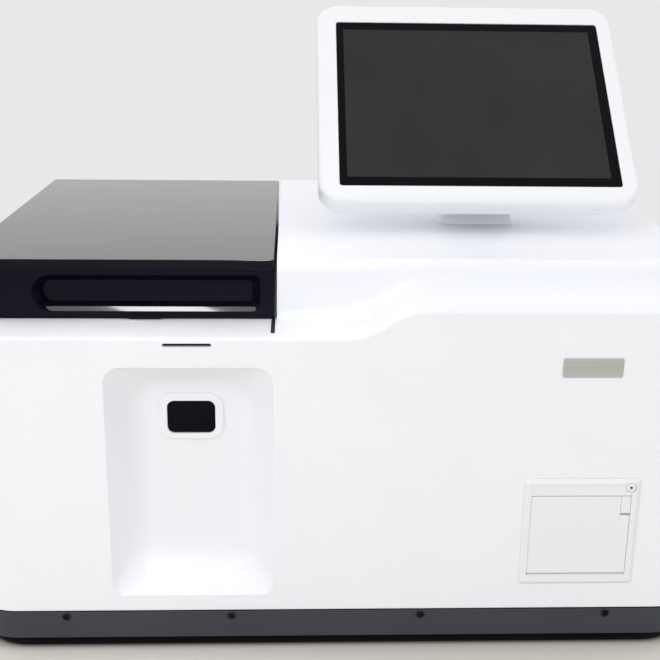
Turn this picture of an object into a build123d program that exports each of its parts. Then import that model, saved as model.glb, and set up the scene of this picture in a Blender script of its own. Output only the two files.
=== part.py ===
from build123d import *
import os
from math import atan2, cos, degrees, pi, radians, sin, sqrt

# Benchtop fluorescence immunoassay analyzer, in millimetres.
# X runs to the right, Y to the back and Z up from the table; the origin is on the table
# under the middle of the body.

# Driving sizes of the housing
BODY_W = 625.0
BODY_D = 460.0
FOOT_H = 12.0
BASE_H = 24.0
WALL = 4.0
FRONT_CORNER = 43.0
REAR_CORNER = 14.0
SEAM = 1.5
LEDGE_Z = 277.0
LEDGE_RISE = 22.6
TOP_Z = 327.0
STEP_START_X = 1.7
STEP_END_X = 67.8
BAND_DEPTH = 53.0
CREST_R = 10.0
HOUSING_LEFT_X = -52.0

# Places worked out from them
FRONT = -BODY_D / 2
REAR = BODY_D / 2
LEFT = -BODY_W / 2
RIGHT = BODY_W / 2
BASE_TOP = FOOT_H + BASE_H
COVER_Z = BASE_TOP + SEAM
RAISED_Z = LEDGE_Z + LEDGE_RISE
BAND_Y = FRONT + BAND_DEPTH
TRIM_PROUD = 2.5

# Driving sizes of the front face
BAY_LEFT, BAY_RIGHT = -188.6, -54.6
BAY_LOW, BAY_HIGH = 50.7, 252.7
BAY_DEPTH, BAY_DRAFT, BAY_FOOT_DRAFT, BAY_BLEND, BAY_COVE = 27.0, 20.0, 11.3, 18.0, 33.3
SCAN_X, SCAN_Z = -122.0, 201.8
CARD_SLOT_W, CARD_SLOT_H, CARD_SLOT_Z = 38.3, 2.9, 271.2
PLATE_W, PLATE_H, PLATE_X, PLATE_Z = 48.6, 16.1, 200.1, 252.9
PRINTER_LEFT, PRINTER_RIGHT = 151.4, 248.2
PRINTER_LOW, PRINTER_HIGH = 60.3, 157.3
PRINTER_RIM = 3.4
RIM_R = 2.5
BASE_SCREW_X = (-228.3, -90.1, 69.8, 228.3)

# Driving sizes of the lid and the working deck
LID_LEFT, LID_RIGHT = -312.4, -54.5
LID_FRONT, LID_REAR = BAND_Y + 0.3, 224.0
LID_LOW, LID_SEAM = 277.5, 319.3
LID_WALL = 4.0
LID_AXIS_Y, LID_AXIS_Z = 214.0, 292.0
LID_HINGE_X = (-276.0, -90.0)
PULL_LEFT, PULL_RIGHT, PULL_LOW, PULL_HIGH = -252.2, -65.5, 282.8, 314.2
TUB_LEFT, TUB_RIGHT = -300.0, -66.0
TUB_FRONT, TUB_REAR = -165.0, 199.0
DECK_Z = 165.0
TUB_WALL = 3.0
TUB_TOP = LEDGE_Z + 3
TABLE_X, TABLE_Y, TABLE_R, TABLE_Z = -207.0, 5.0, 84.0, 199.0
TUBE_X0, TUBE_Y0, TUBE_PITCH_X, TUBE_PITCH_Y = -264.0, -143.0, 20.0, 26.0
NEEDLE_X, NEEDLE_Y, NEEDLE_TIP_Z = -109.0, 56.0, 254.0
BELT_X, BELT_Z, PULLEY_R = -284.0, 236.0, 8.0
BELT_FRONT_Y, BELT_REAR_Y = -150.0, 176.0

# Driving sizes of the screen and its neck
SCREEN_W, SCREEN_H, SCREEN_T, SCREEN_CORNER = 293.0, 236.0, 24.0, 22.0
GLASS_W, GLASS_H, GLASS_RIGHT, GLASS_UP = 258.0, 196.0, 1.5, -3.5
SCREEN_LEAN = 45.0
SCREEN_X, SCREEN_Y, SCREEN_Z = 130.5, 4.3, 442.3
NECK_X, NECK_W, NECK_D = 136.5, 71.5, 46.0
TILT_Y, TILT_Z, TILT_PIN_R = -8.0, 372.0, 5.0

# Driving sizes of the back
FAN_X, FAN_Z, FAN_SIZE, FAN_T = 200.0, 190.0, 80.0, 25.0
PANEL_Y, PANEL_T = 223.9, 2.0
POWER_X, POWER_Z = 250.0, 83.0
PORTS_X, PORTS_Z = 10.0, 80.0

# A running fit, and the gap between pieces that pass each other
FIT = 0.05
GAP = 0.3


# Shared shapes

def block(x0, x1, y0, y1, z0, z1):
    """A box between its six faces."""
    return Pos((x0 + x1) / 2, (y0 + y1) / 2, (z0 + z1) / 2) * Box(x1 - x0, y1 - y0, z1 - z0)


def pad(x0, x1, y0, y1, z0, z1, r):
    """A box with rounded upright edges."""
    face = Pos((x0 + x1) / 2, (y0 + y1) / 2, z0) * RectangleRounded(x1 - x0, y1 - y0, r)
    return extrude(face, amount=z1 - z0)


def panel(x0, x1, z0, z1, y0, y1, r):
    """A plate facing forwards, with rounded corners."""
    face = Pos((x0 + x1) / 2, (z0 + z1) / 2) * RectangleRounded(x1 - x0, z1 - z0, r)
    return extrude(Plane.XZ.offset(-y1) * face, amount=y1 - y0)


def rod_x(x0, x1, y, z, r):
    """A round bar along X."""
    return extrude(Plane.YZ.offset(x0) * Pos(y, z) * Circle(r), amount=x1 - x0)


def rod_y(y0, y1, x, z, r):
    """A round bar along Y."""
    return extrude(Plane.XZ.offset(-y1) * Pos(x, z) * Circle(r), amount=y1 - y0)


def rod_z(z0, z1, x, y, r):
    """A round bar along Z."""
    return extrude(Pos(x, y, z0) * Circle(r), amount=z1 - z0)


def body_plan(inset):
    """The housing seen from above: large round corners in front, small ones behind."""
    plan = Rectangle(BODY_W - 2 * inset, BODY_D - 2 * inset)
    front = plan.vertices().filter_by(lambda v: v.Y < 0)
    plan = fillet(front, FRONT_CORNER - inset)
    rear = plan.vertices().filter_by(lambda v: v.Y > BODY_D / 4)
    return fillet(rear, REAR_CORNER - inset)


def body_prism(inset, z0, z1):
    return extrude(Pos(0, 0, z0) * body_plan(inset), amount=z1 - z0)


# Base

def base_tray():
    """Shallow tray with a floor, a seat for the cover's edge and a locating lip inside it."""
    floor_t, rim = 3.0, 10.0
    tray = body_prism(0, FOOT_H, BASE_TOP) - body_prism(rim, FOOT_H + floor_t, BASE_TOP + 1)
    tray += body_prism(2, BASE_TOP, COVER_Z) - body_prism(rim, BASE_TOP - 1, COVER_Z + 1)
    tray += body_prism(WALL + 0.4, COVER_Z, COVER_Z + 8) - body_prism(WALL + 3, COVER_Z - 1, COVER_Z + 9)
    for y in (-110, 30):
        tray += block(-295, 295, y - 1.5, y + 1.5, FOOT_H + floor_t, FOOT_H + 10)
    for x in (-20, 20):
        tray += block(x - 1.5, x + 1.5, -215, 215, FOOT_H + floor_t, FOOT_H + 10)
    for x in BASE_SCREW_X:
        tray -= rod_y(FRONT - 1, FRONT + 4, x, BASE_TOP - 4.4, 3.2)
        tray -= rod_y(FRONT - 1, FRONT + 12, x, BASE_TOP - 4.4, 1.6)
    for i in range(8):
        tray -= block(100, 150, 80 + i * 12, 84 + i * 12, FOOT_H - 1, FOOT_H + floor_t + 1)
    return tray


def base_screws():
    """Pan-head screws sunk into the tray's front edge, with a cross recess."""
    screws = []
    for x in BASE_SCREW_X:
        z = BASE_TOP - 4.4
        head = rod_y(FRONT + 1.2, FRONT + 4, x, z, 2.9)
        head -= block(x - 1.8, x + 1.8, FRONT, FRONT + 2.2, z - 0.4, z + 0.4)
        head -= block(x - 0.4, x + 0.4, FRONT, FRONT + 2.2, z - 1.8, z + 1.8)
        screws.append(head + rod_y(FRONT + 4, FRONT + 12, x, z, 1.6))
    return Compound(children=screws)


def feet():
    """Four rubber feet, tapered, each with a hollow centre round its screw."""
    made = []
    for x in (-262, 262):
        for y in (-188, 188):
            foot = Pos(x, y, FOOT_H / 2) * Cone(15, 17, FOOT_H)
            made.append(foot - rod_z(-1, 5, x, y, 6))
    return Compound(children=made)


# Main cover

def step_height(x):
    """Height of the ledge at x: low, two equal arcs that rise, then high."""
    half = (STEP_END_X - STEP_START_X) / 2
    rise = LEDGE_RISE / 2
    r = (half ** 2 + rise ** 2) / (2 * rise)
    if x <= STEP_START_X:
        return LEDGE_Z
    if x >= STEP_END_X:
        return RAISED_Z
    if x <= STEP_START_X + half:
        return LEDGE_Z + r - sqrt(r ** 2 - (x - STEP_START_X) ** 2)
    return RAISED_Z - r + sqrt(r ** 2 - (STEP_END_X - x) ** 2)


def ledge_solid():
    """The front and its ledge, with the S-shaped step from the low to the raised part."""
    middle = ((STEP_START_X + STEP_END_X) / 2, (LEDGE_Z + RAISED_Z) / 2)
    outline = [
        Line((LEFT, COVER_Z), (LEFT, LEDGE_Z)),
        Line((LEFT, LEDGE_Z), (STEP_START_X, LEDGE_Z)),
        TangentArc((STEP_START_X, LEDGE_Z), middle, tangent=(1, 0)),
        TangentArc((STEP_END_X, RAISED_Z), middle, tangent=(-1, 0)),
        Line((STEP_END_X, RAISED_Z), (RIGHT, RAISED_Z)),
        Line((RIGHT, RAISED_Z), (RIGHT, COVER_Z)),
        Line((RIGHT, COVER_Z), (LEFT, COVER_Z)),
    ]
    return extrude(Plane.XZ * make_face(outline), amount=BODY_D / 2, both=True)


def band_section(x):
    """The raised housing cut at x: a cove that sweeps further forward to the right, a wall, a crest."""
    ledge = step_height(x)
    foot = FRONT + 46 - 0.107 * (x - HOUSING_LEFT_X)
    reach = BAND_Y - foot
    rise = min(reach, TOP_Z - CREST_R - ledge - 1)
    crest_z = TOP_Z - CREST_R
    buried = ledge - 8
    outline = [
        Bezier((foot, ledge), (foot + 0.55 * reach, ledge),
               (BAND_Y, ledge + 0.45 * rise), (BAND_Y, ledge + rise)),
        Line((BAND_Y, ledge + rise), (BAND_Y, crest_z)),
        TangentArc((BAND_Y, crest_z), (BAND_Y + CREST_R, TOP_Z), tangent=(0, 1)),
        Line((BAND_Y + CREST_R, TOP_Z), (REAR, TOP_Z)),
        Line((REAR, TOP_Z), (REAR, buried)),
        Line((REAR, buried), (foot, buried)),
        Line((foot, buried), (foot, ledge)),
    ]
    return Plane.YZ.offset(x) * make_face(outline)


def housing_solid():
    """The raised right housing, lofted through sections that follow the step."""
    steps = 6
    across = STEP_END_X - STEP_START_X
    places = [HOUSING_LEFT_X] + [STEP_START_X + across * i / steps for i in range(steps + 1)] + [RIGHT]
    return loft([band_section(x) for x in places], ruled=True)


def bay_solid(grow):
    """The scanning bay: drafted sides, a sloping top and a large cove at the foot."""
    def outline(x0, x1, z0, z1, r, depth):
        at = Plane(origin=((x0 + x1) / 2, FRONT + depth, (z0 + z1) / 2), x_dir=(1, 0, 0), z_dir=(0, -1, 0))
        return at * RectangleRounded(x1 - x0 + 2 * grow, z1 - z0 + 2 * grow, r + grow)
    depth = BAY_DEPTH + grow
    dish = loft([outline(BAY_LEFT, BAY_RIGHT, BAY_LOW, BAY_HIGH, 13, 0),
                 outline(BAY_LEFT + BAY_DRAFT, BAY_RIGHT - BAY_DRAFT,
                         BAY_LOW + BAY_FOOT_DRAFT, BAY_HIGH - BAY_DRAFT, 28, depth)])
    back = dish.faces().sort_by(Axis.Y)[-1]
    dish = fillet(back.edges(), BAY_BLEND)
    cove = BAY_COVE + grow
    cove_z = BAY_LOW - grow + cove
    wall_y = FRONT + depth
    side = [
        Line((FRONT - 10, BAY_LOW - grow), (wall_y - cove, BAY_LOW - grow)),
        TangentArc((wall_y - cove, BAY_LOW - grow), (wall_y, cove_z), tangent=(1, 0)),
        Line((wall_y, cove_z), (wall_y, BAY_HIGH + 10)),
        Line((wall_y, BAY_HIGH + 10), (FRONT - 10, BAY_HIGH + 10)),
        Line((FRONT - 10, BAY_HIGH + 10), (FRONT - 10, BAY_LOW - grow)),
    ]
    section = extrude(Plane.YZ.offset(BAY_LEFT - 10) * make_face(side), amount=BAY_RIGHT - BAY_LEFT + 20)
    return dish & section


def main_cover():
    """One moulding: front, sides, ledge and raised housing, open below and behind."""
    outer = (ledge_solid() + housing_solid()) & body_prism(0, COVER_Z, TOP_Z)

    def on_front_rim(edge):
        middle = edge @ 0.5
        return middle.Y < FRONT + 14 and abs(middle.Z - step_height(middle.X)) < 1
    outer = fillet(outer.edges().filter_by(on_front_rim), RIM_R)
    inner = body_prism(WALL, COVER_Z - 1, LEDGE_Z - WALL)
    under_raised = block(STEP_END_X + WALL, RIGHT, FRONT, REAR, COVER_Z, TOP_Z)
    inner += body_prism(WALL, LEDGE_Z - WALL - 1, RAISED_Z - WALL) & under_raised
    inner += block(HOUSING_LEFT_X + WALL, RIGHT - WALL, BAND_Y + CREST_R + WALL, REAR - WALL,
                   LEDGE_Z - 17, TOP_Z - WALL)
    cover = outer - inner
    cover -= block(-302.3, 302.3, REAR - 20, REAR - WALL, COVER_Z - 1, LEDGE_Z - WALL)
    cover -= block(-297, 297, REAR - 10, REAR + 1, COVER_Z - 1, LEDGE_Z - 9)
    cover -= block(HOUSING_LEFT_X + 9, 297, REAR - 10, REAR + 1, COVER_Z - 1, TOP_Z - 9)
    cover += bay_solid(WALL) & block(-300, 0, FRONT + 1, 0, COVER_Z, LEDGE_Z)
    cover -= bay_solid(0)
    cover -= pad(TUB_LEFT - 0.5, TUB_RIGHT + 0.5, TUB_FRONT - 0.5, TUB_REAR + 0.5,
                 LEDGE_Z - 10, LEDGE_Z + 1, 8)
    groove_x, groove_w = LID_RIGHT - 0.5, 3.4
    cover -= pad(groove_x - groove_w / 2, groove_x + groove_w / 2, FRONT + 14, BAND_Y - 2,
                 LEDGE_Z - 10, LEDGE_Z + 1, 1.6)
    cover -= panel(SCAN_X - 26.5, SCAN_X + 26.5, SCAN_Z - 20, SCAN_Z + 20, FRONT + 10, FRONT + 40, 12)
    cover -= panel(SCAN_X - CARD_SLOT_W / 2, SCAN_X + CARD_SLOT_W / 2, CARD_SLOT_Z - CARD_SLOT_H / 2,
                   CARD_SLOT_Z + CARD_SLOT_H / 2, FRONT - 1, FRONT + WALL + 1, 1.4)
    cover -= block(PRINTER_LEFT + PRINTER_RIM, PRINTER_RIGHT - PRINTER_RIM, FRONT - 1, FRONT + 10,
                   PRINTER_LOW + PRINTER_RIM, PRINTER_HIGH - PRINTER_RIM)
    return cover


# Scanning bay fittings, card reader and nameplate

def window_ring():
    """Raised frame that passes through the back of the bay and holds the window."""
    ring = panel(SCAN_X - 26.5, SCAN_X + 26.5, SCAN_Z - 20, SCAN_Z + 20, FRONT + 24.4, FRONT + 34, 12)
    ring = fillet(ring.faces().sort_by(Axis.Y)[0].edges(), 1.8)
    ring -= panel(SCAN_X - 19.7, SCAN_X + 19.7, SCAN_Z - 14.2, SCAN_Z + 14.2, FRONT + 20, FRONT + 40, 6)
    ring -= panel(SCAN_X - 21.7, SCAN_X + 21.7, SCAN_Z - 16.2, SCAN_Z + 16.2, FRONT + 26.6, FRONT + 40, 7)
    return ring


def scan_window():
    return panel(SCAN_X - 21.6, SCAN_X + 21.6, SCAN_Z - 16.1, SCAN_Z + 16.1, FRONT + 26.6, FRONT + 28.6, 7)


def scanner_module():
    """Code reader behind the window: a case, a lens barrel and two lamps on its front."""
    module = panel(SCAN_X - 30, SCAN_X + 30, SCAN_Z - 21, SCAN_Z + 16, FRONT + 34, FRONT + 60, 2)
    module += rod_y(FRONT + 30, FRONT + 34, SCAN_X, SCAN_Z, 8)
    module -= rod_y(FRONT + 29, FRONT + 33, SCAN_X, SCAN_Z, 6)
    for x in (SCAN_X - 15, SCAN_X + 15):
        module += rod_y(FRONT + 31, FRONT + 34, x, SCAN_Z, 3)
    return module


def card_reader():
    """Socket behind the card slot, hung under the ledge."""
    low, high = CARD_SLOT_Z - 9.2, LEDGE_Z - WALL
    half = CARD_SLOT_W / 2 + 5
    reader = block(SCAN_X - half, SCAN_X + half, FRONT + WALL, FRONT + 48, low, high)
    throat = CARD_SLOT_W / 2
    return reader - block(SCAN_X - throat, SCAN_X + throat, FRONT, FRONT + 38,
                          CARD_SLOT_Z - 1.2, CARD_SLOT_Z + 1.2)


def nameplate():
    plate = panel(PLATE_X - PLATE_W / 2, PLATE_X + PLATE_W / 2, PLATE_Z - PLATE_H / 2, PLATE_Z + PLATE_H / 2,
                  FRONT - 0.9, FRONT, 1.6)
    return chamfer(plate.faces().sort_by(Axis.Y)[0].edges(), 0.3)


# Working deck under the lid

def deck_tub():
    """Deep tray with a flange on the cover, rail shelves, a shaft hole and the idler's axle."""
    tub = pad(TUB_LEFT, TUB_RIGHT, TUB_FRONT, TUB_REAR, DECK_Z - TUB_WALL, TUB_TOP, 8)
    tub += pad(TUB_LEFT - 4, TUB_RIGHT + 4, TUB_FRONT - 4, TUB_REAR + 4, TUB_TOP - 2, TUB_TOP, 10)
    tub -= pad(TUB_LEFT + TUB_WALL, TUB_RIGHT - TUB_WALL, TUB_FRONT + TUB_WALL, TUB_REAR - TUB_WALL,
               DECK_Z, TUB_TOP + 1, 5)
    tub -= rod_z(DECK_Z - 5, DECK_Z + 1, TABLE_X, TABLE_Y, 8)
    tub += rod_x(TUB_LEFT + TUB_WALL, BELT_X + 6, BELT_FRONT_Y, BELT_Z, 2.5)
    tub += rod_x(TUB_LEFT + TUB_WALL, BELT_X - 5.3, BELT_FRONT_Y, BELT_Z, 5)
    return tub


def deck_gasket():
    """Flat seal between the tub's flange and the cover."""
    seal = pad(TUB_LEFT - 3.5, TUB_RIGHT + 3.5, TUB_FRONT - 3.5, TUB_REAR + 3.5, LEDGE_Z, LEDGE_Z + 1, 10)
    return seal - pad(TUB_LEFT, TUB_RIGHT, TUB_FRONT, TUB_REAR, LEDGE_Z - 1, LEDGE_Z + 2, 8)


def incubator_base():
    """Heated block under the turntable, with a shallow rim and a bore for the shaft."""
    base = rod_z(DECK_Z, TABLE_Z - 3, TABLE_X, TABLE_Y, TABLE_R + 2)
    base -= rod_z(TABLE_Z - 9, TABLE_Z, TABLE_X, TABLE_Y, TABLE_R - 4)
    return base - rod_z(DECK_Z - 1, TABLE_Z, TABLE_X, TABLE_Y, 12)


CARTRIDGES = 10
CARTRIDGE_W, CARTRIDGE_L, CARTRIDGE_T = 15.6, 48.0, 5.0
CARTRIDGE_MID_R = 57.0


def turntable():
    """Disc with one open pocket for each cartridge and a knob in the middle."""
    disc = rod_z(TABLE_Z, TABLE_Z + 6, TABLE_X, TABLE_Y, TABLE_R)
    disc += rod_z(TABLE_Z + 6, TABLE_Z + 14, TABLE_X, TABLE_Y, 13)
    disc += rod_z(TABLE_Z - 4, TABLE_Z, TABLE_X, TABLE_Y, 18)
    for i in range(CARTRIDGES):
        turn = Pos(TABLE_X, TABLE_Y) * Rot(0, 0, i * 360 / CARTRIDGES)
        pocket = Box(CARTRIDGE_L + 0.4, CARTRIDGE_W + 0.4, 6)
        disc -= turn * Pos(CARTRIDGE_MID_R, 0, TABLE_Z + 6) * pocket
        disc -= turn * Pos(CARTRIDGE_MID_R, 0, TABLE_Z + 3) * Box(20, 8, 8)
        disc -= turn * Pos(TABLE_R, 0, TABLE_Z + 3) * Cylinder(6, 8)
    return disc - rod_z(TABLE_Z - 5, TABLE_Z + 10, TABLE_X, TABLE_Y, 5)


def turntable_shaft():
    """Hub on the motor's spindle, with the spindle's end in the motor's bearing."""
    return (rod_z(DECK_Z - 9, TABLE_Z + 10, TABLE_X, TABLE_Y, 5)
            + rod_z(DECK_Z - 34, DECK_Z - 9, TABLE_X, TABLE_Y, 2.5))


def test_cartridges():
    """Strip cases with an oval sample well and a reading window."""
    made = []
    for i in range(CARTRIDGES):
        if i == 3:
            continue
        case = Box(CARTRIDGE_L, CARTRIDGE_W, CARTRIDGE_T)
        case = chamfer(case.faces().sort_by(Axis.Z)[-1].edges(), 1)
        case -= Pos(14, 0, 2) * Cylinder(3, 4)
        case -= Pos(-6, 0, 2) * Box(16, 4.4, 4)
        turn = Pos(TABLE_X, TABLE_Y) * Rot(0, 0, i * 360 / CARTRIDGES)
        made.append(turn * Pos(CARTRIDGE_MID_R, 0, TABLE_Z + 3 + CARTRIDGE_T / 2) * case)
    return Compound(children=made)


def turntable_motor():
    """Square stepper under the deck on four pillars, with a bore for the spindle."""
    low, high = DECK_Z - 50, DECK_Z - 12
    case = extrude(Pos(TABLE_X, TABLE_Y, low) * chamfer(Rectangle(42, 42).vertices(), 4), amount=high - low)
    for x in (-15.5, 15.5):
        for y in (-15.5, 15.5):
            case += rod_z(high, DECK_Z - TUB_WALL, TABLE_X + x, TABLE_Y + y, 3.2)
    return case - rod_z(high - 24, high + 1, TABLE_X, TABLE_Y, 2.5 + FIT)


def reader_module():
    """Optical head that overhangs the turntable's edge from a column beside it."""
    side = make_face(Polyline((-118, DECK_Z), (-72, DECK_Z), (-72, 232), (-78, 240), (-146, 240),
                              (-150, 236), (-150, 212), (-118, 212), close=True))
    head = extrude(Plane.XZ.offset(-35) * side, amount=60)
    head = fillet(head.edges().filter_by(Axis.Z).sort_by(Axis.X)[-2:], 3)
    for i in range(5):
        head -= block(-73.5, -71, -15 + i * 9, -11 + i * 9, 180, 222)
    return head


def cartridge_magazine():
    """Upright case that stacks cartridges, open on top and slotted in front."""
    case = block(-110, -84, 60, 118, DECK_Z, 244) - block(-106.5, -87.5, 63.5, 114.5, DECK_Z + 4, 250)
    case -= block(-101, -93, 50, 70, DECK_Z + 14, 250)
    return case - block(-92, -80, 64, 114, DECK_Z + 4, DECK_Z + 10)


def sample_rack():
    """Frame of base, drilled middle and top plates between two end walls with finger slots."""
    x0, x1, y0, y1 = TUBE_X0 - 10, TUBE_X0 + 4 * TUBE_PITCH_X + 10, TUBE_Y0 - 15, TUBE_Y0 + TUBE_PITCH_Y + 15
    z0 = DECK_Z + GAP
    rack = block(x0, x1, y0, y1, z0, z0 + 6) + block(x0, x1, y0, y1, 226, 230)
    rack += block(x0, x0 + 3, y0, y1, z0, 238) + block(x1 - 3, x1, y0, y1, z0, 238)
    for x in (x0 + 1.5, x1 - 1.5):
        rack -= Pos(x, (y0 + y1) / 2, 232) * Box(5, 24, 6)
    for i in range(5):
        for j in range(2):
            rack -= rod_z(220, 240, TUBE_X0 + i * TUBE_PITCH_X, TUBE_Y0 + j * TUBE_PITCH_Y, 6.3)
    return rack


def sample_tubes():
    """Round-bottomed tubes with a rim."""
    made = []
    z0 = DECK_Z + GAP + 6
    wall = [Line((0, z0), (0, z0 + 1)), Line((0, z0 + 1), (5.2, z0 + 6)), Line((5.2, z0 + 6), (5.2, 248)),
            Line((5.2, 248), (6.8, 248)), Line((6.8, 248), (6.8, 244)), Line((6.8, 244), (6, 244)),
            Line((6, 244), (6, z0 + 6)), TangentArc((6, z0 + 6), (0, z0), tangent=(0, -1))]
    tube = revolve(Plane.XZ * make_face(wall), Axis.Z)
    for i in range(5):
        for j in range(2):
            made.append(Pos(TUBE_X0 + i * TUBE_PITCH_X, TUBE_Y0 + j * TUBE_PITCH_Y, 0) * tube)
    return Compound(children=made)


TIP_X0, TIP_Y0, TIP_PITCH = -150.0, -147.0, 14.0


def tip_rack():
    """Box with a drilled top plate and a skirt, standing on the deck."""
    x0, x1, y0, y1 = TIP_X0 - 10, TIP_X0 + 4 * TIP_PITCH + 10, TIP_Y0 - 10, TIP_Y0 + 2 * TIP_PITCH + 10
    rack = pad(x0, x1, y0, y1, DECK_Z, 222, 3) - block(x0 + 2, x1 - 2, y0 + 2, y1 - 2, DECK_Z - 1, 219)
    for i in range(5):
        for j in range(3):
            rack -= rod_z(210, 230, TIP_X0 + i * TIP_PITCH, TIP_Y0 + j * TIP_PITCH, 3.6)
    return rack


def pipette_tips():
    made = []
    tip = Pos(0, 0, 201) * Cone(0.7, 3.4, 42) + Pos(0, 0, 225) * Cylinder(4.6, 6)
    tip -= Pos(0, 0, 222) * Cylinder(2.8, 14)
    for i in range(5):
        for j in range(3):
            made.append(Pos(TIP_X0 + i * TIP_PITCH, TIP_Y0 + j * TIP_PITCH, 0) * tip)
    return Compound(children=made)


def waste_bin():
    """Lift-out bin for used tips and cartridges, with a rolled rim and drafted sides."""
    def outline(inset, z):
        return Pos(-185, 146, z) * RectangleRounded(96 - 2 * inset, 80 - 2 * inset, 8 - inset)
    z0, z1 = DECK_Z + GAP, 236
    shell = loft([outline(4, z0), outline(0, z1)]) - loft([outline(6, z0 + 2), outline(2, z1 + 0.1)])
    return shell + (extrude(outline(-1.5, z1 - 3), amount=3) - extrude(outline(1.8, z1 - 4), amount=5))


# Pipetting bridge

BRIDGE_Y = 93.0
RAIL_Z0, RAIL_Z1 = 250.0, 258.0


def bridge_rails():
    """Two guide rails on the tub's side walls."""
    made = []
    for wall, out in ((TUB_LEFT + TUB_WALL, 1), (TUB_RIGHT - TUB_WALL, -1)):
        x0, x1 = sorted((wall, wall + out * 8))
        rail = block(x0, x1, -150, 188, RAIL_Z0, RAIL_Z1)
        groove_x = wall + out * 8
        rail -= block(groove_x - 1.2, groove_x + 1.2, -151, 189, RAIL_Z0 + 3, RAIL_Z0 + 5)
        made.append(rail)
    return Compound(children=made)


def bridge_blocks():
    """Bearing blocks that ride on the rails; the left one reaches down to the belt."""
    made = []
    for wall, out in ((TUB_LEFT + TUB_WALL, 1), (TUB_RIGHT - TUB_WALL, -1)):
        x0, x1 = sorted((wall + out * 0.5, wall + out * 12))
        bearing = block(x0, x1, BRIDGE_Y - 15, BRIDGE_Y + 15, RAIL_Z1 + GAP, 268)
        if out == 1:
            bearing += block(wall + 8.5, wall + 16, BRIDGE_Y - 6, BRIDGE_Y + 6, BELT_Z + 9.8, 266)
        made.append(bearing)
    return Compound(children=made)


def bridge_beam():
    """Box beam across the deck, with a guide groove in front and lightening holes."""
    beam = block(TUB_LEFT + 4, TUB_RIGHT - 4, BRIDGE_Y - 7, BRIDGE_Y + 7, 268, 292)
    beam -= block(TUB_LEFT + 16, TUB_RIGHT - 16, BRIDGE_Y - 8, BRIDGE_Y - 3, 277, 283)
    for i in range(9):
        beam -= rod_y(BRIDGE_Y + 1, BRIDGE_Y + 8, -270 + i * 22, 280, 6)
    return beam


def probe_head():
    """Carriage hooked over the beam, with the lift motor and an upright guide on its face."""
    rear = BRIDGE_Y - 7 - GAP
    head = block(NEEDLE_X - 18, NEEDLE_X + 18, rear - 10, rear, 257, 310)
    head += block(NEEDLE_X - 18, NEEDLE_X + 18, rear - 10, BRIDGE_Y + 11, 292 + GAP, 297)
    head += block(NEEDLE_X - 18, NEEDLE_X + 18, BRIDGE_Y + 7 + GAP, BRIDGE_Y + 11, 282, 297)
    head += block(NEEDLE_X - 4, NEEDLE_X + 4, NEEDLE_Y + 7 + GAP, rear - 10, 257, 310)
    head += block(NEEDLE_X + 6, NEEDLE_X + 17, NEEDLE_Y, rear - 10, 286, 312)
    return head


def sample_probe():
    """Slider with a tapered holder and a thin steel needle."""
    slider = block(NEEDLE_X - 8, NEEDLE_X + 5, NEEDLE_Y - 5, NEEDLE_Y + 7, 297, 311)
    slider += Pos(NEEDLE_X, NEEDLE_Y, 292) * Cone(1.6, 4, 10)
    return slider + rod_z(NEEDLE_TIP_Z, 290, NEEDLE_X, NEEDLE_Y, 0.9)


def pulley(y):
    """Flanged belt pulley."""
    wheel = rod_x(BELT_X - 5, BELT_X + 5, y, BELT_Z, PULLEY_R)
    for x in (BELT_X - 5, BELT_X + 4):
        wheel += rod_x(x, x + 1, y, BELT_Z, PULLEY_R + 2)
    for i in range(3):
        angle = 2 * pi * i / 3
        wheel -= rod_x(BELT_X - 6, BELT_X + 6, y + 5 * cos(angle), BELT_Z + 5 * sin(angle), 1.2)
    return wheel


def idler_pulley():
    return pulley(BELT_FRONT_Y) - rod_x(BELT_X - 6, BELT_X + 7, BELT_FRONT_Y, BELT_Z, 2.5 + FIT)


def motor_pulley():
    """Pulley on the drive motor's shaft, whose end runs in the motor."""
    return pulley(BELT_REAR_Y) + rod_x(BELT_X - 7, BELT_X + 22, BELT_REAR_Y, BELT_Z, 2.5)


def drive_motor():
    """Small stepper on an upright bracket that stands on the deck."""
    case = block(-277, -241, BELT_REAR_Y - 17.5, BELT_REAR_Y + 17.5, BELT_Z - 17.5, BELT_Z + 17.5)
    case = chamfer(case.edges().filter_by(Axis.X), 4)
    case += block(-278, -275, BELT_REAR_Y - 15, BELT_REAR_Y + 15, DECK_Z, BELT_Z + 12)
    case += block(-278, -246, BELT_REAR_Y - 15, BELT_REAR_Y + 15, DECK_Z, DECK_Z + 3)
    return case - rod_x(-280, -258, BELT_REAR_Y, BELT_Z, 2.5 + FIT)


def drive_belt():
    """Flat loop round the two pulleys, held a hair off them."""
    inner, outer = PULLEY_R + GAP, PULLEY_R + GAP + 1.2
    length = BELT_REAR_Y - BELT_FRONT_Y
    middle = (BELT_REAR_Y + BELT_FRONT_Y) / 2
    loop = Plane.YZ.offset(BELT_X - 3) * Pos(middle, BELT_Z)
    face = SlotCenterToCenter(length, 2 * outer) - SlotCenterToCenter(length, 2 * inner)
    return extrude(loop * face, amount=6)


# Lid

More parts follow.
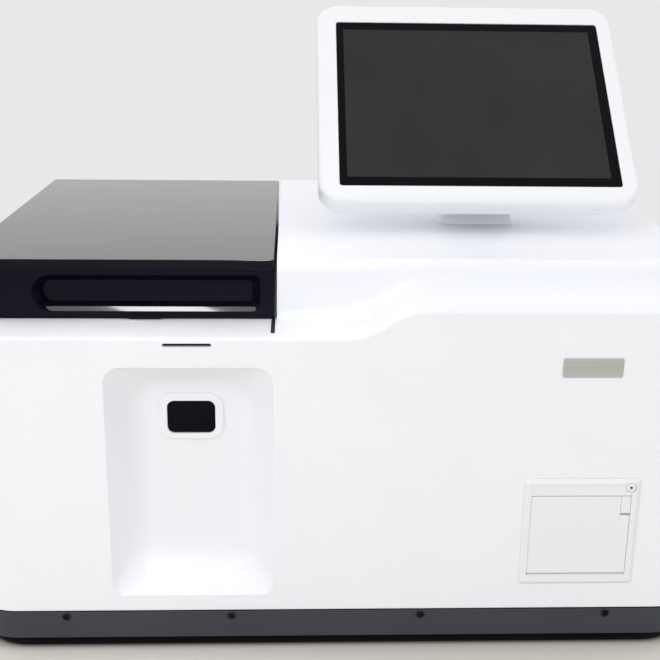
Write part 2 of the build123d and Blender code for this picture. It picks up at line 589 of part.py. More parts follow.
def lid_frame():
    """Hollow frame under the gloss plate, with a bevelled pull recess in its front."""
    roof = LID_SEAM - 3
    frame = pad(LID_LEFT, LID_RIGHT, LID_FRONT, LID_REAR, LID_LOW, LID_SEAM, 3)
    frame -= pad(LID_LEFT + LID_WALL, LID_RIGHT - LID_WALL, LID_FRONT + LID_WALL, LID_REAR - LID_WALL,
                 LID_LOW - 1, roof, 2)
    left, right, low, high = PULL_LEFT, PULL_RIGHT, PULL_LOW, PULL_HIGH
    frame += block(left - 4, right + 4, LID_FRONT + 2, LID_FRONT + 17, TUB_TOP + GAP, LID_SEAM - 1)

    def outline(side, foot, top, depth):
        at = Plane(origin=(0, LID_FRONT + depth, 0), x_dir=(1, 0, 0), z_dir=(0, -1, 0))
        w, h = right - left - 2 * side, high - low - foot - top
        face = Pos((left + right) / 2, (low + foot + high - top) / 2) * Rectangle(w, h)
        face = fillet(face.vertices().group_by(Axis.X)[0], h / 2 - 0.2)
        return at * fillet(face.vertices().group_by(Axis.X)[-1], 5 - side / 4)
    frame -= loft([outline(0, 0, 0, -0.01), outline(6, 5.2, 6, 8), outline(7, 6, 6.6, 13)], ruled=True)
    frame -= block(LID_LEFT - 1, LID_RIGHT + 1, 205, LID_REAR + 1, LID_LOW - 1, 284)
    for x in LID_HINGE_X:
        frame -= block(x - 17, x + 17, LID_REAR - LID_WALL - 1, LID_REAR + 1, 283, 306)
    for x in (-250, -183, -116):
        frame += block(x - 1, x + 1, -140, 218, roof - 3, roof + 1)
    return frame + block(-174, -147, LID_FRONT - 2.5, LID_FRONT + 1, LID_LOW + 0.2, LID_LOW + 3)


def lid_top():
    top = pad(LID_LEFT, LID_RIGHT, LID_FRONT, LID_REAR, LID_SEAM, TOP_Z, 3)
    return chamfer(top.faces().sort_by(Axis.Z)[-1].edges(), 0.6)


def lid_hinge_brackets():
    """Knuckles that stand on the cover behind the tub."""
    made = []
    for x in LID_HINGE_X:
        foot = block(x - 12, x + 12, 203.5, 221, LEDGE_Z, LEDGE_Z + 3)
        knuckle = block(x - 12, x + 12, LID_AXIS_Y - 6, LID_AXIS_Y + 6, LEDGE_Z, LID_AXIS_Z)
        knuckle += rod_x(x - 12, x + 12, LID_AXIS_Y, LID_AXIS_Z, 6)
        made.append(foot + knuckle - rod_x(x - 13, x + 13, LID_AXIS_Y, LID_AXIS_Z, 3 + FIT))
    return Compound(children=made)


def lid_hinge_leaves():
    """Two ears on a pad under the lid's roof, one each side of a knuckle."""
    made = []
    roof = LID_SEAM - 3
    for x in LID_HINGE_X:
        leaf = block(x - 16.3, x + 16.3, 200, 219.5, roof - 3, roof)
        for side in (-1, 1):
            x0, x1 = sorted((x + side * 12.3, x + side * 16.3))
            leaf += rod_x(x0, x1, LID_AXIS_Y, LID_AXIS_Z, 5.5)
            leaf += block(x0, x1, LID_AXIS_Y - 5.5, LID_AXIS_Y + 5.5, LID_AXIS_Z, roof)
        made.append(leaf - rod_x(x - 20, x + 20, LID_AXIS_Y, LID_AXIS_Z, 3))
    return Compound(children=made)


def lid_hinge_pins():
    return Compound(children=[rod_x(x - 16.3, x + 16.3, LID_AXIS_Y, LID_AXIS_Z, 3) for x in LID_HINGE_X])


# Panel printer

CASE_X0, CASE_X1 = PRINTER_LEFT + PRINTER_RIM + 0.1, PRINTER_RIGHT - PRINTER_RIM - 0.1
CASE_Z0, CASE_Z1 = PRINTER_LOW + PRINTER_RIM + 0.1, PRINTER_HIGH - PRINTER_RIM - 0.1
CASE_WALL, CASE_DEPTH = 2.0, 64.0
FIELD_TOP = 151.6
DOOR_LEFT, DOOR_RIGHT = 157.6, 240.4
DOOR_AXIS_Z, DOOR_TOP, DOOR_BARREL = 72.9, 141.7, 2.9
DOOR_GAP, DOOR_SLOT = 0.25, 0.6
DOOR_Y0, DOOR_Y1 = FRONT - 1.9, FRONT + 0.9
DOOR_AXIS_Y = DOOR_Y0 + DOOR_BARREL
LEVER_LEFT, LEVER_RIGHT, LEVER_LOW, LEVER_BARREL = 232.6, DOOR_RIGHT, 125.2, 2.2
LEVER_AXIS_Y, LEVER_AXIS_Z = DOOR_Y0 + LEVER_BARREL, LEVER_LOW + LEVER_BARREL
LEVER_GAP, PIN_R = 0.8, 1.2
PAPER_X, PAPER_W = 196.5, 57.0
PAPER_LEFT, PAPER_RIGHT = PAPER_X - PAPER_W / 2, PAPER_X + PAPER_W / 2
PLATEN_Y, PLATEN_Z, PLATEN_R, SPINDLE_R = FRONT + 9.0, 133.7, 5.5, 2.0
ARM_T, ARM_R, GEAR_T = 2.5, 6.0, 2.7
ROLL_Y, ROLL_Z, ROLL_R, CORE_R = FRONT + 36.0, 93.0, 20.0, 6.0
BUTTON_X, BUTTON_Z, BUTTON_R = 239.6, 149.6, 4.2


def printer_frame():
    """Bezel with wide sloping edges and a sunken field, a pocket for the paper, hinge pins and bosses."""
    def outline(inset, r, y):
        at = Plane(origin=((PRINTER_LEFT + PRINTER_RIGHT) / 2, y, (PRINTER_LOW + PRINTER_HIGH) / 2),
                   x_dir=(1, 0, 0), z_dir=(0, -1, 0))
        w, h = PRINTER_RIGHT - PRINTER_LEFT, PRINTER_HIGH - PRINTER_LOW
        return at * RectangleRounded(w - 2 * inset, h - 2 * inset, r)
    front, back = FRONT - TRIM_PROUD, FRONT + CASE_DEPTH
    inner_x0, inner_x1 = CASE_X0 + CASE_WALL, CASE_X1 - CASE_WALL
    frame = loft([outline(0, 4, FRONT), outline(PRINTER_RIM - 0.2, 1.5, front)])
    frame += block(CASE_X0, CASE_X1, FRONT - 1, back, CASE_Z0, CASE_Z1)
    frame -= block(inner_x0, inner_x1, FRONT + 5, back - CASE_WALL, CASE_Z0 + CASE_WALL, CASE_Z1 - CASE_WALL)
    foot, top = DOOR_AXIS_Z - DOOR_BARREL - GAP, DOOR_TOP + DOOR_SLOT
    left, right = DOOR_LEFT - DOOR_GAP, DOOR_RIGHT + DOOR_GAP
    frame -= block(left, right, front - 1, DOOR_Y0, foot, FIELD_TOP)
    frame -= block(left, right, front - 1, DOOR_Y1 + GAP, foot, top)
    frame -= block(inner_x0, inner_x1, DOOR_Y1, FRONT + 6, DOOR_AXIS_Z + 2 * PIN_R, top)
    frame -= rod_x(left, right, DOOR_AXIS_Y, DOOR_AXIS_Z, DOOR_BARREL + GAP)
    frame -= rod_x(LEVER_LEFT - DOOR_GAP, right, LEVER_AXIS_Y, LEVER_AXIS_Z, LEVER_BARREL + GAP)
    frame -= rod_y(front - 1, FRONT + 6, BUTTON_X, BUTTON_Z, BUTTON_R + DOOR_GAP)
    frame += rod_x(CASE_X0 + 1, DOOR_LEFT + 2.5, DOOR_AXIS_Y, DOOR_AXIS_Z, PIN_R)
    frame += rod_x(DOOR_RIGHT - 2.5, CASE_X1 - 1, DOOR_AXIS_Y, DOOR_AXIS_Z, PIN_R)
    frame += rod_x(LEVER_LEFT + 1.5, CASE_X1 - 1, LEVER_AXIS_Y, LEVER_AXIS_Z, PIN_R)
    for inside, r in ((2, CORE_R), (-0.5, CORE_R + 3)):
        frame += rod_x(CASE_X0 + 1, PAPER_LEFT + inside, ROLL_Y, ROLL_Z, r)
        frame += rod_x(PAPER_RIGHT - inside, CASE_X1 - 1, ROLL_Y, ROLL_Z, r)
    return frame


def printer_door():
    """Flat door with a hinge barrel along its foot and two arms that carry the roller."""
    door = block(DOOR_LEFT, DOOR_RIGHT, DOOR_Y0, DOOR_Y1, DOOR_AXIS_Z, LEVER_LOW - LEVER_GAP)
    door += block(DOOR_LEFT, LEVER_LEFT - DOOR_GAP, DOOR_Y0, DOOR_Y1, DOOR_AXIS_Z, DOOR_TOP)
    door += rod_x(DOOR_LEFT, DOOR_RIGHT, DOOR_AXIS_Y, DOOR_AXIS_Z, DOOR_BARREL)
    door -= rod_x(DOOR_LEFT - 1, DOOR_LEFT + 3, DOOR_AXIS_Y, DOOR_AXIS_Z, PIN_R + FIT)
    door -= rod_x(DOOR_RIGHT - 3, DOOR_RIGHT + 1, DOOR_AXIS_Y, DOOR_AXIS_Z, PIN_R + FIT)
    for x0 in (PAPER_LEFT - 1 - ARM_T, PAPER_RIGHT + 1):
        door += block(x0, x0 + ARM_T, DOOR_Y1 - 0.5, PLATEN_Y, PLATEN_Z - ARM_R, PLATEN_Z + ARM_R)
        door += rod_x(x0, x0 + ARM_T, PLATEN_Y, PLATEN_Z, ARM_R)
        door -= rod_x(x0 - 1, x0 + ARM_T + 1, PLATEN_Y, PLATEN_Z, SPINDLE_R + FIT)
    for z in (84, 100, 116):
        door += block(DOOR_LEFT + 8, LEVER_LEFT - 8, DOOR_Y1, DOOR_Y1 + 1.2, z, z + 1.5)
    return door


def platen_roller():
    """Rubber roller on a steel spindle, with its drive gear at the right end."""
    gear_x = PAPER_RIGHT + 1 + ARM_T + 0.4
    roller = rod_x(PAPER_LEFT - 0.6, PAPER_RIGHT + 0.6, PLATEN_Y, PLATEN_Z, PLATEN_R)
    roller += rod_x(PAPER_LEFT - 1 - ARM_T - 0.9, gear_x + GEAR_T + 0.3, PLATEN_Y, PLATEN_Z, SPINDLE_R)
    roller += rod_x(gear_x, gear_x + GEAR_T, PLATEN_Y, PLATEN_Z, 5)
    for i in range(12):
        tooth = Rot(i * 360 / 12, 0, 0) * block(gear_x, gear_x + GEAR_T, -0.6, 0.6, 4.5, 6)
        roller += Pos(0, PLATEN_Y, PLATEN_Z) * tooth
    return roller


def printer_mechanism():
    """Print head block and its motor, fixed at the top of the printer's pocket."""
    y0, high = PLATEN_Y + PLATEN_R + GAP, CASE_Z1 - CASE_WALL
    head = block(PAPER_LEFT, PAPER_RIGHT, y0, y0 + 7, PLATEN_Z - 7, high)
    head += block(CASE_X0 + 3, PAPER_LEFT + 1, y0 + 2, y0 + 22, PLATEN_Z - 3, high)
    head += block(PAPER_RIGHT - 1, CASE_X1 - 3, y0 + 2, y0 + 22, PLATEN_Z - 3, high)
    return head + rod_x(PAPER_LEFT, PAPER_LEFT + 22, y0 + 15, PLATEN_Z + 8, 8)


def paper_roll():
    """Wound paper on a card core."""
    core = rod_x(PAPER_LEFT - 1, PAPER_RIGHT + 1, ROLL_Y, ROLL_Z, CORE_R + FIT)
    return rod_x(PAPER_LEFT, PAPER_RIGHT, ROLL_Y, ROLL_Z, ROLL_R) - core


def printer_lever():
    """Release lever beside the door, flush with it and hinged on a pin at its foot."""
    lever = block(LEVER_LEFT, LEVER_RIGHT, DOOR_Y0, DOOR_Y1, LEVER_AXIS_Z, DOOR_TOP)
    lever += rod_x(LEVER_LEFT, LEVER_RIGHT, LEVER_AXIS_Y, LEVER_AXIS_Z, LEVER_BARREL)
    return lever - rod_x(LEVER_LEFT + 1.2, LEVER_RIGHT + 1, LEVER_AXIS_Y, LEVER_AXIS_Z, PIN_R + FIT)


def feed_button():
    """Round push button with a small sunk dot in its middle."""
    button = rod_y(FRONT - TRIM_PROUD, FRONT + 4.6, BUTTON_X, BUTTON_Z, BUTTON_R)
    button = fillet(button.faces().sort_by(Axis.Y)[0].edges(), 0.8)
    return button - rod_y(FRONT - TRIM_PROUD - 1, FRONT - TRIM_PROUD + 0.5, BUTTON_X, BUTTON_Z, 1.1)


# Touch screen

SCREEN_PLANE = Plane(origin=(SCREEN_X, SCREEN_Y, SCREEN_Z), x_dir=(1, 0, 0),
                     z_dir=(0, -sin(radians(SCREEN_LEAN)), cos(radians(SCREEN_LEAN))))


def slab(w, h, r, z0, z1, right=0.0, up=0.0):
    """A rounded plate in the screen's own plane; z is measured out of the glass."""
    return extrude(SCREEN_PLANE * Pos(right, up, z0) * RectangleRounded(w, h, r), amount=z1 - z0)


def glass_slab(less, r, z0, z1):
    """A plate on the glass's own middle, smaller than the glass by the given amount."""
    return slab(GLASS_W - less, GLASS_H - less, r, z0, z1, GLASS_RIGHT, GLASS_UP)


def screen_bezel():
    """Front shell: a smooth rounded frame round the glass."""
    shell = slab(SCREEN_W, SCREEN_H, SCREEN_CORNER, -12, 0)
    front = shell.faces().sort_by(lambda f: SCREEN_PLANE.to_local_coords(f.center()).Z)[-1]
    shell = fillet(front.edges(), 5)
    shell -= slab(SCREEN_W - 6, SCREEN_H - 6, SCREEN_CORNER - 3, -13, -6)
    return shell - glass_slab(0, 3, -4, 1) - glass_slab(8, 2, -8, 1)


def screen_glass():
    return glass_slab(0.6, 2.8, -2.2, -0.6)


def display_panel():
    """Liquid crystal panel behind the touch glass, with its driver board."""
    return glass_slab(9, 1, -10, -2.2) + slab(180, 120, 2, -14, -10)


def screen_back():
    """Rear shell with a soft edge, a raised middle and rows of vent slots."""
    shell = slab(SCREEN_W, SCREEN_H, SCREEN_CORNER, -SCREEN_T, -12)
    rear = shell.faces().sort_by(lambda f: SCREEN_PLANE.to_local_coords(f.center()).Z)[0]
    shell = fillet(rear.edges(), 5)
    shell -= slab(SCREEN_W - 6, SCREEN_H - 6, SCREEN_CORNER - 3, -SCREEN_T + 3, -11)
    for i in range(9):
        x = -72 + i * 18
        for up in (80, 88):
            shell -= slab(10, 3, 1.4, -SCREEN_T - 1, -SCREEN_T + 4, x, up)
    return shell


def screen_bracket():
    """Plate on the screen's back with two ears on the tilt pin, and the pin."""
    on_screen = SCREEN_PLANE.to_local_coords(Vector(NECK_X, TILT_Y, TILT_Z))
    plate = slab(84, 60, 6, -SCREEN_T - 3, -SCREEN_T, on_screen.X, on_screen.Y)
    bracket = plate + rod_x(NECK_X - 31, NECK_X + 31, TILT_Y, TILT_Z, TILT_PIN_R)
    for side in (-1, 1):
        x0, x1 = sorted((NECK_X + side * 24.5, NECK_X + side * 31))
        bracket += rod_x(x0, x1, TILT_Y, TILT_Z, 9)
        ear = SCREEN_PLANE * Pos(on_screen.X + side * 27.75, on_screen.Y, on_screen.Z) * Rectangle(6.5, 18)
        bracket += extrude(ear, amount=-SCREEN_T - 2 - on_screen.Z)
    return bracket


def screen_neck():
    """Short tapered column on the housing, with the friction barrel on top."""
    foot = Pos(NECK_X, TILT_Y + 6, TOP_Z) * RectangleRounded(NECK_W, NECK_D, 8)
    neck = Pos(NECK_X, TILT_Y, TILT_Z - 12) * RectangleRounded(48, 19, 5)
    column = loft([foot, neck]) + rod_x(NECK_X - 24, NECK_X + 24, TILT_Y, TILT_Z, 10)
    column += block(NECK_X - 24, NECK_X + 24, TILT_Y - 9.5, TILT_Y + 9.5, TILT_Z - 13, TILT_Z)
    return column - rod_x(NECK_X - 25, NECK_X + 25, TILT_Y, TILT_Z, TILT_PIN_R + FIT)


# Rear panel and what it carries

def rear_panel():
    """Sheet panel inside the cover's rear flanges, cut for the fan, the sockets and air."""
    low = block(-302, 302, PANEL_Y, PANEL_Y + PANEL_T, COVER_Z + 9, LEDGE_Z - 5)
    sheet = low + block(HOUSING_LEFT_X + 4.5, 302, PANEL_Y, PANEL_Y + PANEL_T, 200, TOP_Z - 5)
    sheet -= rod_y(PANEL_Y - 1, PANEL_Y + 3, FAN_X, FAN_Z, 37.5)
    sheet -= block(POWER_X - 25, POWER_X + 25, PANEL_Y - 1, PANEL_Y + 3, POWER_Z - 22, POWER_Z + 22)
    sheet -= block(PORTS_X - 38, PORTS_X + 38, PANEL_Y - 1, PANEL_Y + 3, PORTS_Z - 11, PORTS_Z + 11)
    for i in range(12):
        for z in (100, 140):
            x = -250 + i * 12
            sheet -= panel(x, x + 4, z, z + 30, PANEL_Y - 1, PANEL_Y + 3, 1.9)
    return sheet


def rear_screws():
    """Panel screws round the edge of the rear panel."""
    made = []
    places = [(-290, 60), (-290, 262), (-60, 262), (-35, 312), (130, 312), (290, 312), (290, 60), (-60, 56)]
    for x, z in places:
        head = rod_y(PANEL_Y + PANEL_T, PANEL_Y + PANEL_T + 2, x, z, 3)
        made.append(head - block(x - 2, x + 2, PANEL_Y + PANEL_T + 1, REAR, z - 0.4, z + 0.4))
    return Compound(children=made)


def fan_frame():
    """Square fan housing with a round throat and a motor mount on four spokes."""
    y1 = PANEL_Y
    y0 = y1 - FAN_T
    half = FAN_SIZE / 2
    frame = panel(FAN_X - half, FAN_X + half, FAN_Z - half, FAN_Z + half, y0, y1, 5)
    frame -= rod_y(y0 - 1, y1 + 1, FAN_X, FAN_Z, 38)
    frame += rod_y(y0, y0 + 3, FAN_X, FAN_Z, 17)
    for angle in (45, 135, 225, 315):
        spoke = extrude(Plane.XZ.offset(-y0 - 3) * Pos(FAN_X, FAN_Z) * Rot(0, 0, angle)
                        * Pos(28, 0) * Rectangle(26, 5), amount=3)
        frame += spoke
    return frame - rod_y(y0 - 1, y0 + 4, FAN_X, FAN_Z, 2 + FIT)


def fan_rotor():
    """Hub with seven twisted blades."""
    y0 = PANEL_Y - FAN_T + 4
    y1 = PANEL_Y - 2
    rotor = rod_y(y0, y1, FAN_X, FAN_Z, 16) + rod_y(y0 - 4, y0, FAN_X, FAN_Z, 2)
    middle = (y0 + y1) / 2

    def chord(radius, pitch):
        at = Plane(origin=(radius, 0, 0), x_dir=(0, 0, 1), z_dir=(1, 0, 0))
        return at * Rot(0, 0, pitch) * Rectangle(17, 1.6)
    blade = loft([chord(14, 52), chord(35.5, 30)])
    for i in range(7):
        rotor += Pos(FAN_X, middle, FAN_Z) * Rot(0, i * 360 / 7, 0) * blade
    return rotor


def fan_guard():
    """Wire finger guard: rings on a cross of wires, with four eyes."""
    wire = 1.1
    y = REAR + TRIM_PROUD - wire
    guard = Part()
    for r in (8, 16, 24, 32, 39):
        ring = revolve(Plane.XZ * Pos(r, 0) * RegularPolygon(wire, 6), Axis.Z)
        guard += Pos(FAN_X, y, FAN_Z) * Rot(90, 0, 0) * ring
    eye = FAN_SIZE / 2 - 4.5
    for sx in (-1, 1):
        for sz in (-1, 1):
            arm = extrude(Plane.XZ.offset(-y) * Pos(FAN_X, FAN_Z) * Rot(0, 0, degrees(atan2(sz, sx)))
                          * Pos(eye * sqrt(2) / 2 + 3, 0) * Rectangle(eye * sqrt(2) - 5, 1.6), amount=1.6)
            guard += arm
            post = rod_y(PANEL_Y + PANEL_T, y + 0.5, FAN_X + sx * eye, FAN_Z + sz * eye, 3.2)
            guard += post
    return guard


def power_inlet():
    """Inlet module: flange, socket with three blades and a pocket for the rocker."""
    y0, y1 = PANEL_Y - 22, PANEL_Y + PANEL_T + 2
    module = panel(POWER_X - 28, POWER_X + 28, POWER_Z - 25, POWER_Z + 25, PANEL_Y + PANEL_T, y1, 3)
    module += block(POWER_X - 25, POWER_X + 25, y0, PANEL_Y + PANEL_T, POWER_Z - 22, POWER_Z + 22)
    socket_z = POWER_Z - 10
    mouth = chamfer(Rectangle(24.5, 16).vertices().sort_by(Axis.Y)[-2:], 4)
    module -= extrude(Plane.XZ.offset(-y1 - 1) * Pos(POWER_X, socket_z) * mouth, amount=18)
    for x, z in ((-7, -2.5), (7, -2.5), (0, 2.8)):
        module += block(POWER_X + x - 1, POWER_X + x + 1, y1 - 17.5, y1 - 3,
                        socket_z + z - 2, socket_z + z + 2)
    return module - block(POWER_X - 15.6, POWER_X + 15.6, y0 + 2, y1 + 1, POWER_Z + 5, POWER_Z + 20)


def power_switch():
    """Rocker with two faces that meet at its middle, resting with its left half pressed."""
    pivot_y = PANEL_Y + PANEL_T - 1
    disc = extrude(Pos(0, 0, POWER_Z + 5.4) * Circle(15.2), amount=14.2)
    keep = make_face(Polyline((-16, -6), (16, -6), (16, 6.2), (0, 3.4), (-16, 6.2), close=True))
    rocker = disc & extrude(Pos(0, 0, POWER_Z) * keep, amount=30)
    return Pos(POWER_X, pivot_y - 1.5, 0) * Rot(0, 0, 8) * rocker


def rear_ports():
    """Plate with three data sockets, a network socket and a serial connector."""
    y1 = PANEL_Y + PANEL_T + 1.5
    plate = panel(PORTS_X - 42, PORTS_X + 42, PORTS_Z - 15, PORTS_Z + 15, PANEL_Y + PANEL_T, y1, 2)
    plate += block(PORTS_X - 37, PORTS_X + 37, PANEL_Y - 18, PANEL_Y + PANEL_T,
                   PORTS_Z - 10.5, PORTS_Z + 10.5)
    for x in (-31, -14):
        plate -= block(PORTS_X + x - 6.3, PORTS_X + x + 6.3, y1 - 12, y1 + 1, PORTS_Z - 2.6, PORTS_Z + 2.6)
        plate += block(PORTS_X + x - 5.5, PORTS_X + x + 5.5, y1 - 13, y1 - 1, PORTS_Z + 0.2, PORTS_Z + 2)
    plate -= block(PORTS_X - 3, PORTS_X + 9, y1 - 3.5, y1 + 1, PORTS_Z - 5, PORTS_Z + 4)
    d_shell = chamfer(Rectangle(17, 8).vertices().sort_by(Axis.Y)[:2], 2)
    plate -= extrude(Plane.XZ.offset(-y1 - 1) * Pos(PORTS_X + 25, PORTS_Z) * d_shell, amount=3.5)
    return plate


# Electronics in the base

def power_supply():
    """Sheet metal case with a perforated lid, standing on the tray."""
    case = block(60, 215, 60, 160, FOOT_H + 3, FOOT_H + 46)
    for i in range(10):
        for j in range(4):
            case -= rod_z(FOOT_H + 44.5, FOOT_H + 47, 75 + i * 14, 80 + j * 20, 3)
    return case


def control_board():
    """Circuit board on four pillars with chips and a finned heat sink."""
    z = FOOT_H + 18
    board = block(-270, -70, -60, 90, z, z + 1.6)
    for x in (-262, -78):
        for y in (-52, 82):
            board += rod_z(FOOT_H + 3, z, x, y, 3.5)
    board += block(-240, -214, -30, -4, z + 1.6, z + 4) + block(-150, -120, 20, 50, z + 1.6, z + 4)
    board += block(-110, -80, -50, 60, z + 1.6, z + 12)
    board += block(-200, -160, -20, 20, z + 1.6, z + 6)
    for i in range(7):
        board += block(-200 + i * 6.4, -198.4 + i * 6.4, -20, 20, z + 6, z + 20)
    return board


NODES = [
    base_tray, base_screws, feet, main_cover, window_ring, scan_window, scanner_module, card_reader,
    nameplate, deck_tub, deck_gasket, incubator_base, turntable, turntable_shaft, test_cartridges,
    turntable_motor, reader_module, cartridge_magazine, sample_rack, sample_tubes, tip_rack, pipette_tips,
    waste_bin, bridge_rails, bridge_blocks, bridge_beam, probe_head, sample_probe, idler_pulley,
    motor_pulley, drive_motor, drive_belt, lid_frame, lid_top, lid_hinge_brackets, lid_hinge_leaves,
    lid_hinge_pins, printer_frame, printer_door, platen_roller, printer_mechanism, paper_roll,
    printer_lever, feed_button, screen_bezel, screen_glass, display_panel, screen_back, screen_bracket,
    screen_neck, rear_panel, rear_screws, fan_frame, fan_rotor, fan_guard, power_inlet, power_switch,
    rear_ports, power_supply, control_board,
]

os.makedirs("parts", exist_ok=True)
for make in NODES:
    export_step(make(), "parts/" + make.__name__ + ".step")
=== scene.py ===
from math import cos, pi, radians, sin

import bpy
from mathutils import Matrix, Vector


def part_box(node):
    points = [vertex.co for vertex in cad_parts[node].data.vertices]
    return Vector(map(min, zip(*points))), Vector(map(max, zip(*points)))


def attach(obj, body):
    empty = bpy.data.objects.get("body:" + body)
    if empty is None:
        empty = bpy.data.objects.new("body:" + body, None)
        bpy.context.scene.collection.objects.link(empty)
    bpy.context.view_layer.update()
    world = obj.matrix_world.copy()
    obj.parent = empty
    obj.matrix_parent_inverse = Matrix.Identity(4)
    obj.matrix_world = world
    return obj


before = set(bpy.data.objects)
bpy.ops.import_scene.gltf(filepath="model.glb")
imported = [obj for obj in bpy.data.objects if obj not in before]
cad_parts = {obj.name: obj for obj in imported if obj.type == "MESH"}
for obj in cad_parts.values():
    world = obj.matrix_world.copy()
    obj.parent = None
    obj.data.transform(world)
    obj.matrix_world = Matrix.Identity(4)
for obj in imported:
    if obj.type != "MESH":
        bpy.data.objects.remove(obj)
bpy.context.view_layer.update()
scene = bpy.context.scene


# Standpoint
# The analyzer is seen from just left of its middle, a metre away and a little above
# the deck lid, with the camera tilted down at the scanning bay.
STANDPOINT = Vector((-0.041, -1.050, 0.534))
TURN, TILT, ROLL = radians(2.16), radians(16.94), radians(-0.74)
FOCAL_PIXELS, FRAME_PIXELS, SENSOR_MM = 1099.0, 660.0, 36.0

ahead = Vector((sin(TURN) * cos(TILT), cos(TURN) * cos(TILT), -sin(TILT)))
level = Vector((cos(TURN), -sin(TURN), 0.0))
below = ahead.cross(level)
across = cos(ROLL) * level + sin(ROLL) * below
down = cos(ROLL) * below - sin(ROLL) * level
lens = bpy.data.cameras.new("standpoint")
lens.sensor_width = SENSOR_MM
lens.lens = SENSOR_MM * FOCAL_PIXELS / FRAME_PIXELS
lens.clip_start, lens.clip_end = 0.01, 50.0
camera = bpy.data.objects.new("standpoint", lens)
camera_axes = Matrix((across, -down, -ahead)).transposed().to_4x4()
camera.matrix_world = Matrix.Translation(STANDPOINT) @ camera_axes
scene.collection.objects.link(camera)
scene.camera = camera
scene.view_settings.view_transform = "Standard"


# Studio
# A pale room with light from all round, weaker near the floor and stronger overhead at the
# back. Soft lamps stand at the front left and low in front, a long one above draws the line
# in the lid's pull, and a narrow beam lights the ledge.
LIGHT_LOW, LIGHT_HIGH, LIGHT_RISE = 0.45, 0.96, 0.42
OVER_FRONT, OVER_BACK, OVER_SPAN = 0.76, 1.35, 0.5
OVER_FROM, OVER_TO = 0.3, 0.6
ROOM_SEEN = 0.81
MIDDLE = Vector((0.0, 0.0, 0.2))
LEDGE, LEDGE_BEAM = Vector((-0.19, -0.18, 0.28)), radians(9)
PULL_EDGE = Vector((-0.16, -0.175, 0.285))


def add(tree, kind, **settings):
    """One shader node with its settings."""
    node = tree.nodes.new("ShaderNode" + kind)
    for key, value in settings.items():
        setattr(node, key, value)
    return node


def plug(tree, socket, value):
    """Puts a link or a plain value into a socket."""
    if isinstance(value, bpy.types.NodeSocket):
        tree.links.new(value, socket)
    else:
        socket.default_value = value


def calculate(tree, operation, *values):
    node = add(tree, "Math", operation=operation)
    for socket, value in zip(node.inputs, values):
        plug(tree, socket, value)
    return node.outputs[0]


def spread(tree, value, low, high, to_low=0.0, to_high=1.0):
    """Maps a value from one range to another, held at both ends."""
    node = add(tree, "MapRange")
    for socket, v in zip(node.inputs, (value, low, high, to_low, to_high)):
        plug(tree, socket, v)
    return node.outputs[0]


def seen_directly(tree):
    """1 where a view, a reflection or a look through glass meets the surface."""
    path = add(tree, "LightPath")
    straight = calculate(tree, "MAXIMUM", path.outputs["Is Camera Ray"], path.outputs["Is Glossy Ray"])
    return calculate(tree, "MAXIMUM", straight, path.outputs["Is Transmission Ray"])


def white_light(tree, kind, strength):
    """A white background or glow."""
    light = add(tree, kind)
    light.inputs["Color"].default_value = (1, 1, 1, 1)
    plug(tree, light.inputs["Strength"], strength)
    return light


def blend_shaders(tree, factor, first, second):
    blend = add(tree, "MixShader")
    for socket, value in zip(blend.inputs, (factor, first.outputs[0], second.outputs[0])):
        plug(tree, socket, value)
    return blend


def soft_lamp(name, place, width, height, watts, aim=MIDDLE, beam=pi):
    light = bpy.data.lights.new(name, "AREA")
    light.shape = "RECTANGLE"
    light.size, light.size_y, light.energy, light.spread = width, height, watts, beam
    lamp = bpy.data.objects.new(name, light)
    lamp.location = place
    lamp.rotation_mode = "QUATERNION"
    lamp.rotation_quaternion = (aim - Vector(place)).to_track_quat("-Z", "Y")
    scene.collection.objects.link(lamp)


soft_lamp("front_left_lamp", (-1.5, -2.1, 1.9), width=1.6, height=1.2, watts=14.5)
soft_lamp("low_fill", (0.2, -2.8, 0.9), width=1.6, height=1.0, watts=7.0)
soft_lamp("ledge_lamp", (-0.19, -0.62, 2.5), width=0.30, height=0.12, watts=0.04,
          aim=LEDGE, beam=LEDGE_BEAM)
soft_lamp("pull_lamp", (-0.45, -0.88, 2.5), width=0.66, height=0.10, watts=1.4, aim=PULL_EDGE)

world = bpy.data.worlds.new("pale_room")
scene.world = world
world.use_nodes = True
room = world.node_tree
room.nodes.clear()
skyward = add(room, "SeparateXYZ")
plug(room, skyward.inputs[0], add(room, "TexCoord").outputs["Generated"])
rising = spread(room, skyward.outputs["Z"], 0.0, LIGHT_RISE, LIGHT_LOW, LIGHT_HIGH)
overhead = spread(room, skyward.outputs["Y"], -OVER_SPAN, OVER_SPAN, OVER_FRONT, OVER_BACK)
above = spread(room, skyward.outputs["Z"], OVER_FROM, OVER_TO, 1.0, overhead)
lighting = white_light(room, "Background", calculate(room, "MULTIPLY", rising, above))
backdrop = white_light(room, "Background", ROOM_SEEN)
choice = blend_shaders(room, seen_directly(room), lighting, backdrop)
plug(room, add(room, "OutputWorld").inputs["Surface"], choice.outputs[0])


# Bench top
# A wide pale surface under the feet, which takes the analyzer's shadow and fades into the
# backdrop away from it. Inside the analyzer's outline it is painted near-black as a painted shadow.
BENCH_RADIUS, BENCH_STEPS, FADE_FROM, FADE_TO = 4.0, 96, 0.75, 1.9
BENCH_DARK, BENCH_LIGHT, CLOUD_SCALE = (0.745, 0.705, 0.648), (0.785, 0.743, 0.688), 3.0
# The painted shadow under the analyzer: half sizes, corner radius, soft edge and colour.
UNDER_SHADE_X, UNDER_SHADE_Y, UNDER_SHADE_CORNER, UNDER_SHADE_SOFT = 0.308, 0.226, 0.045, 0.005
UNDER_SHADE_BLACK = (0.03, 0.026, 0.022)


def vector_step(tree, operation, *values):
    """One step on vectors, which gives a vector or, for a length or dot product, a number."""
    node = add(tree, "VectorMath", operation=operation)
    for socket, value in zip(node.inputs, values):
        plug(tree, socket, value)
    return node.outputs["Value" if operation in ("LENGTH", "DOT_PRODUCT") else "Vector"]


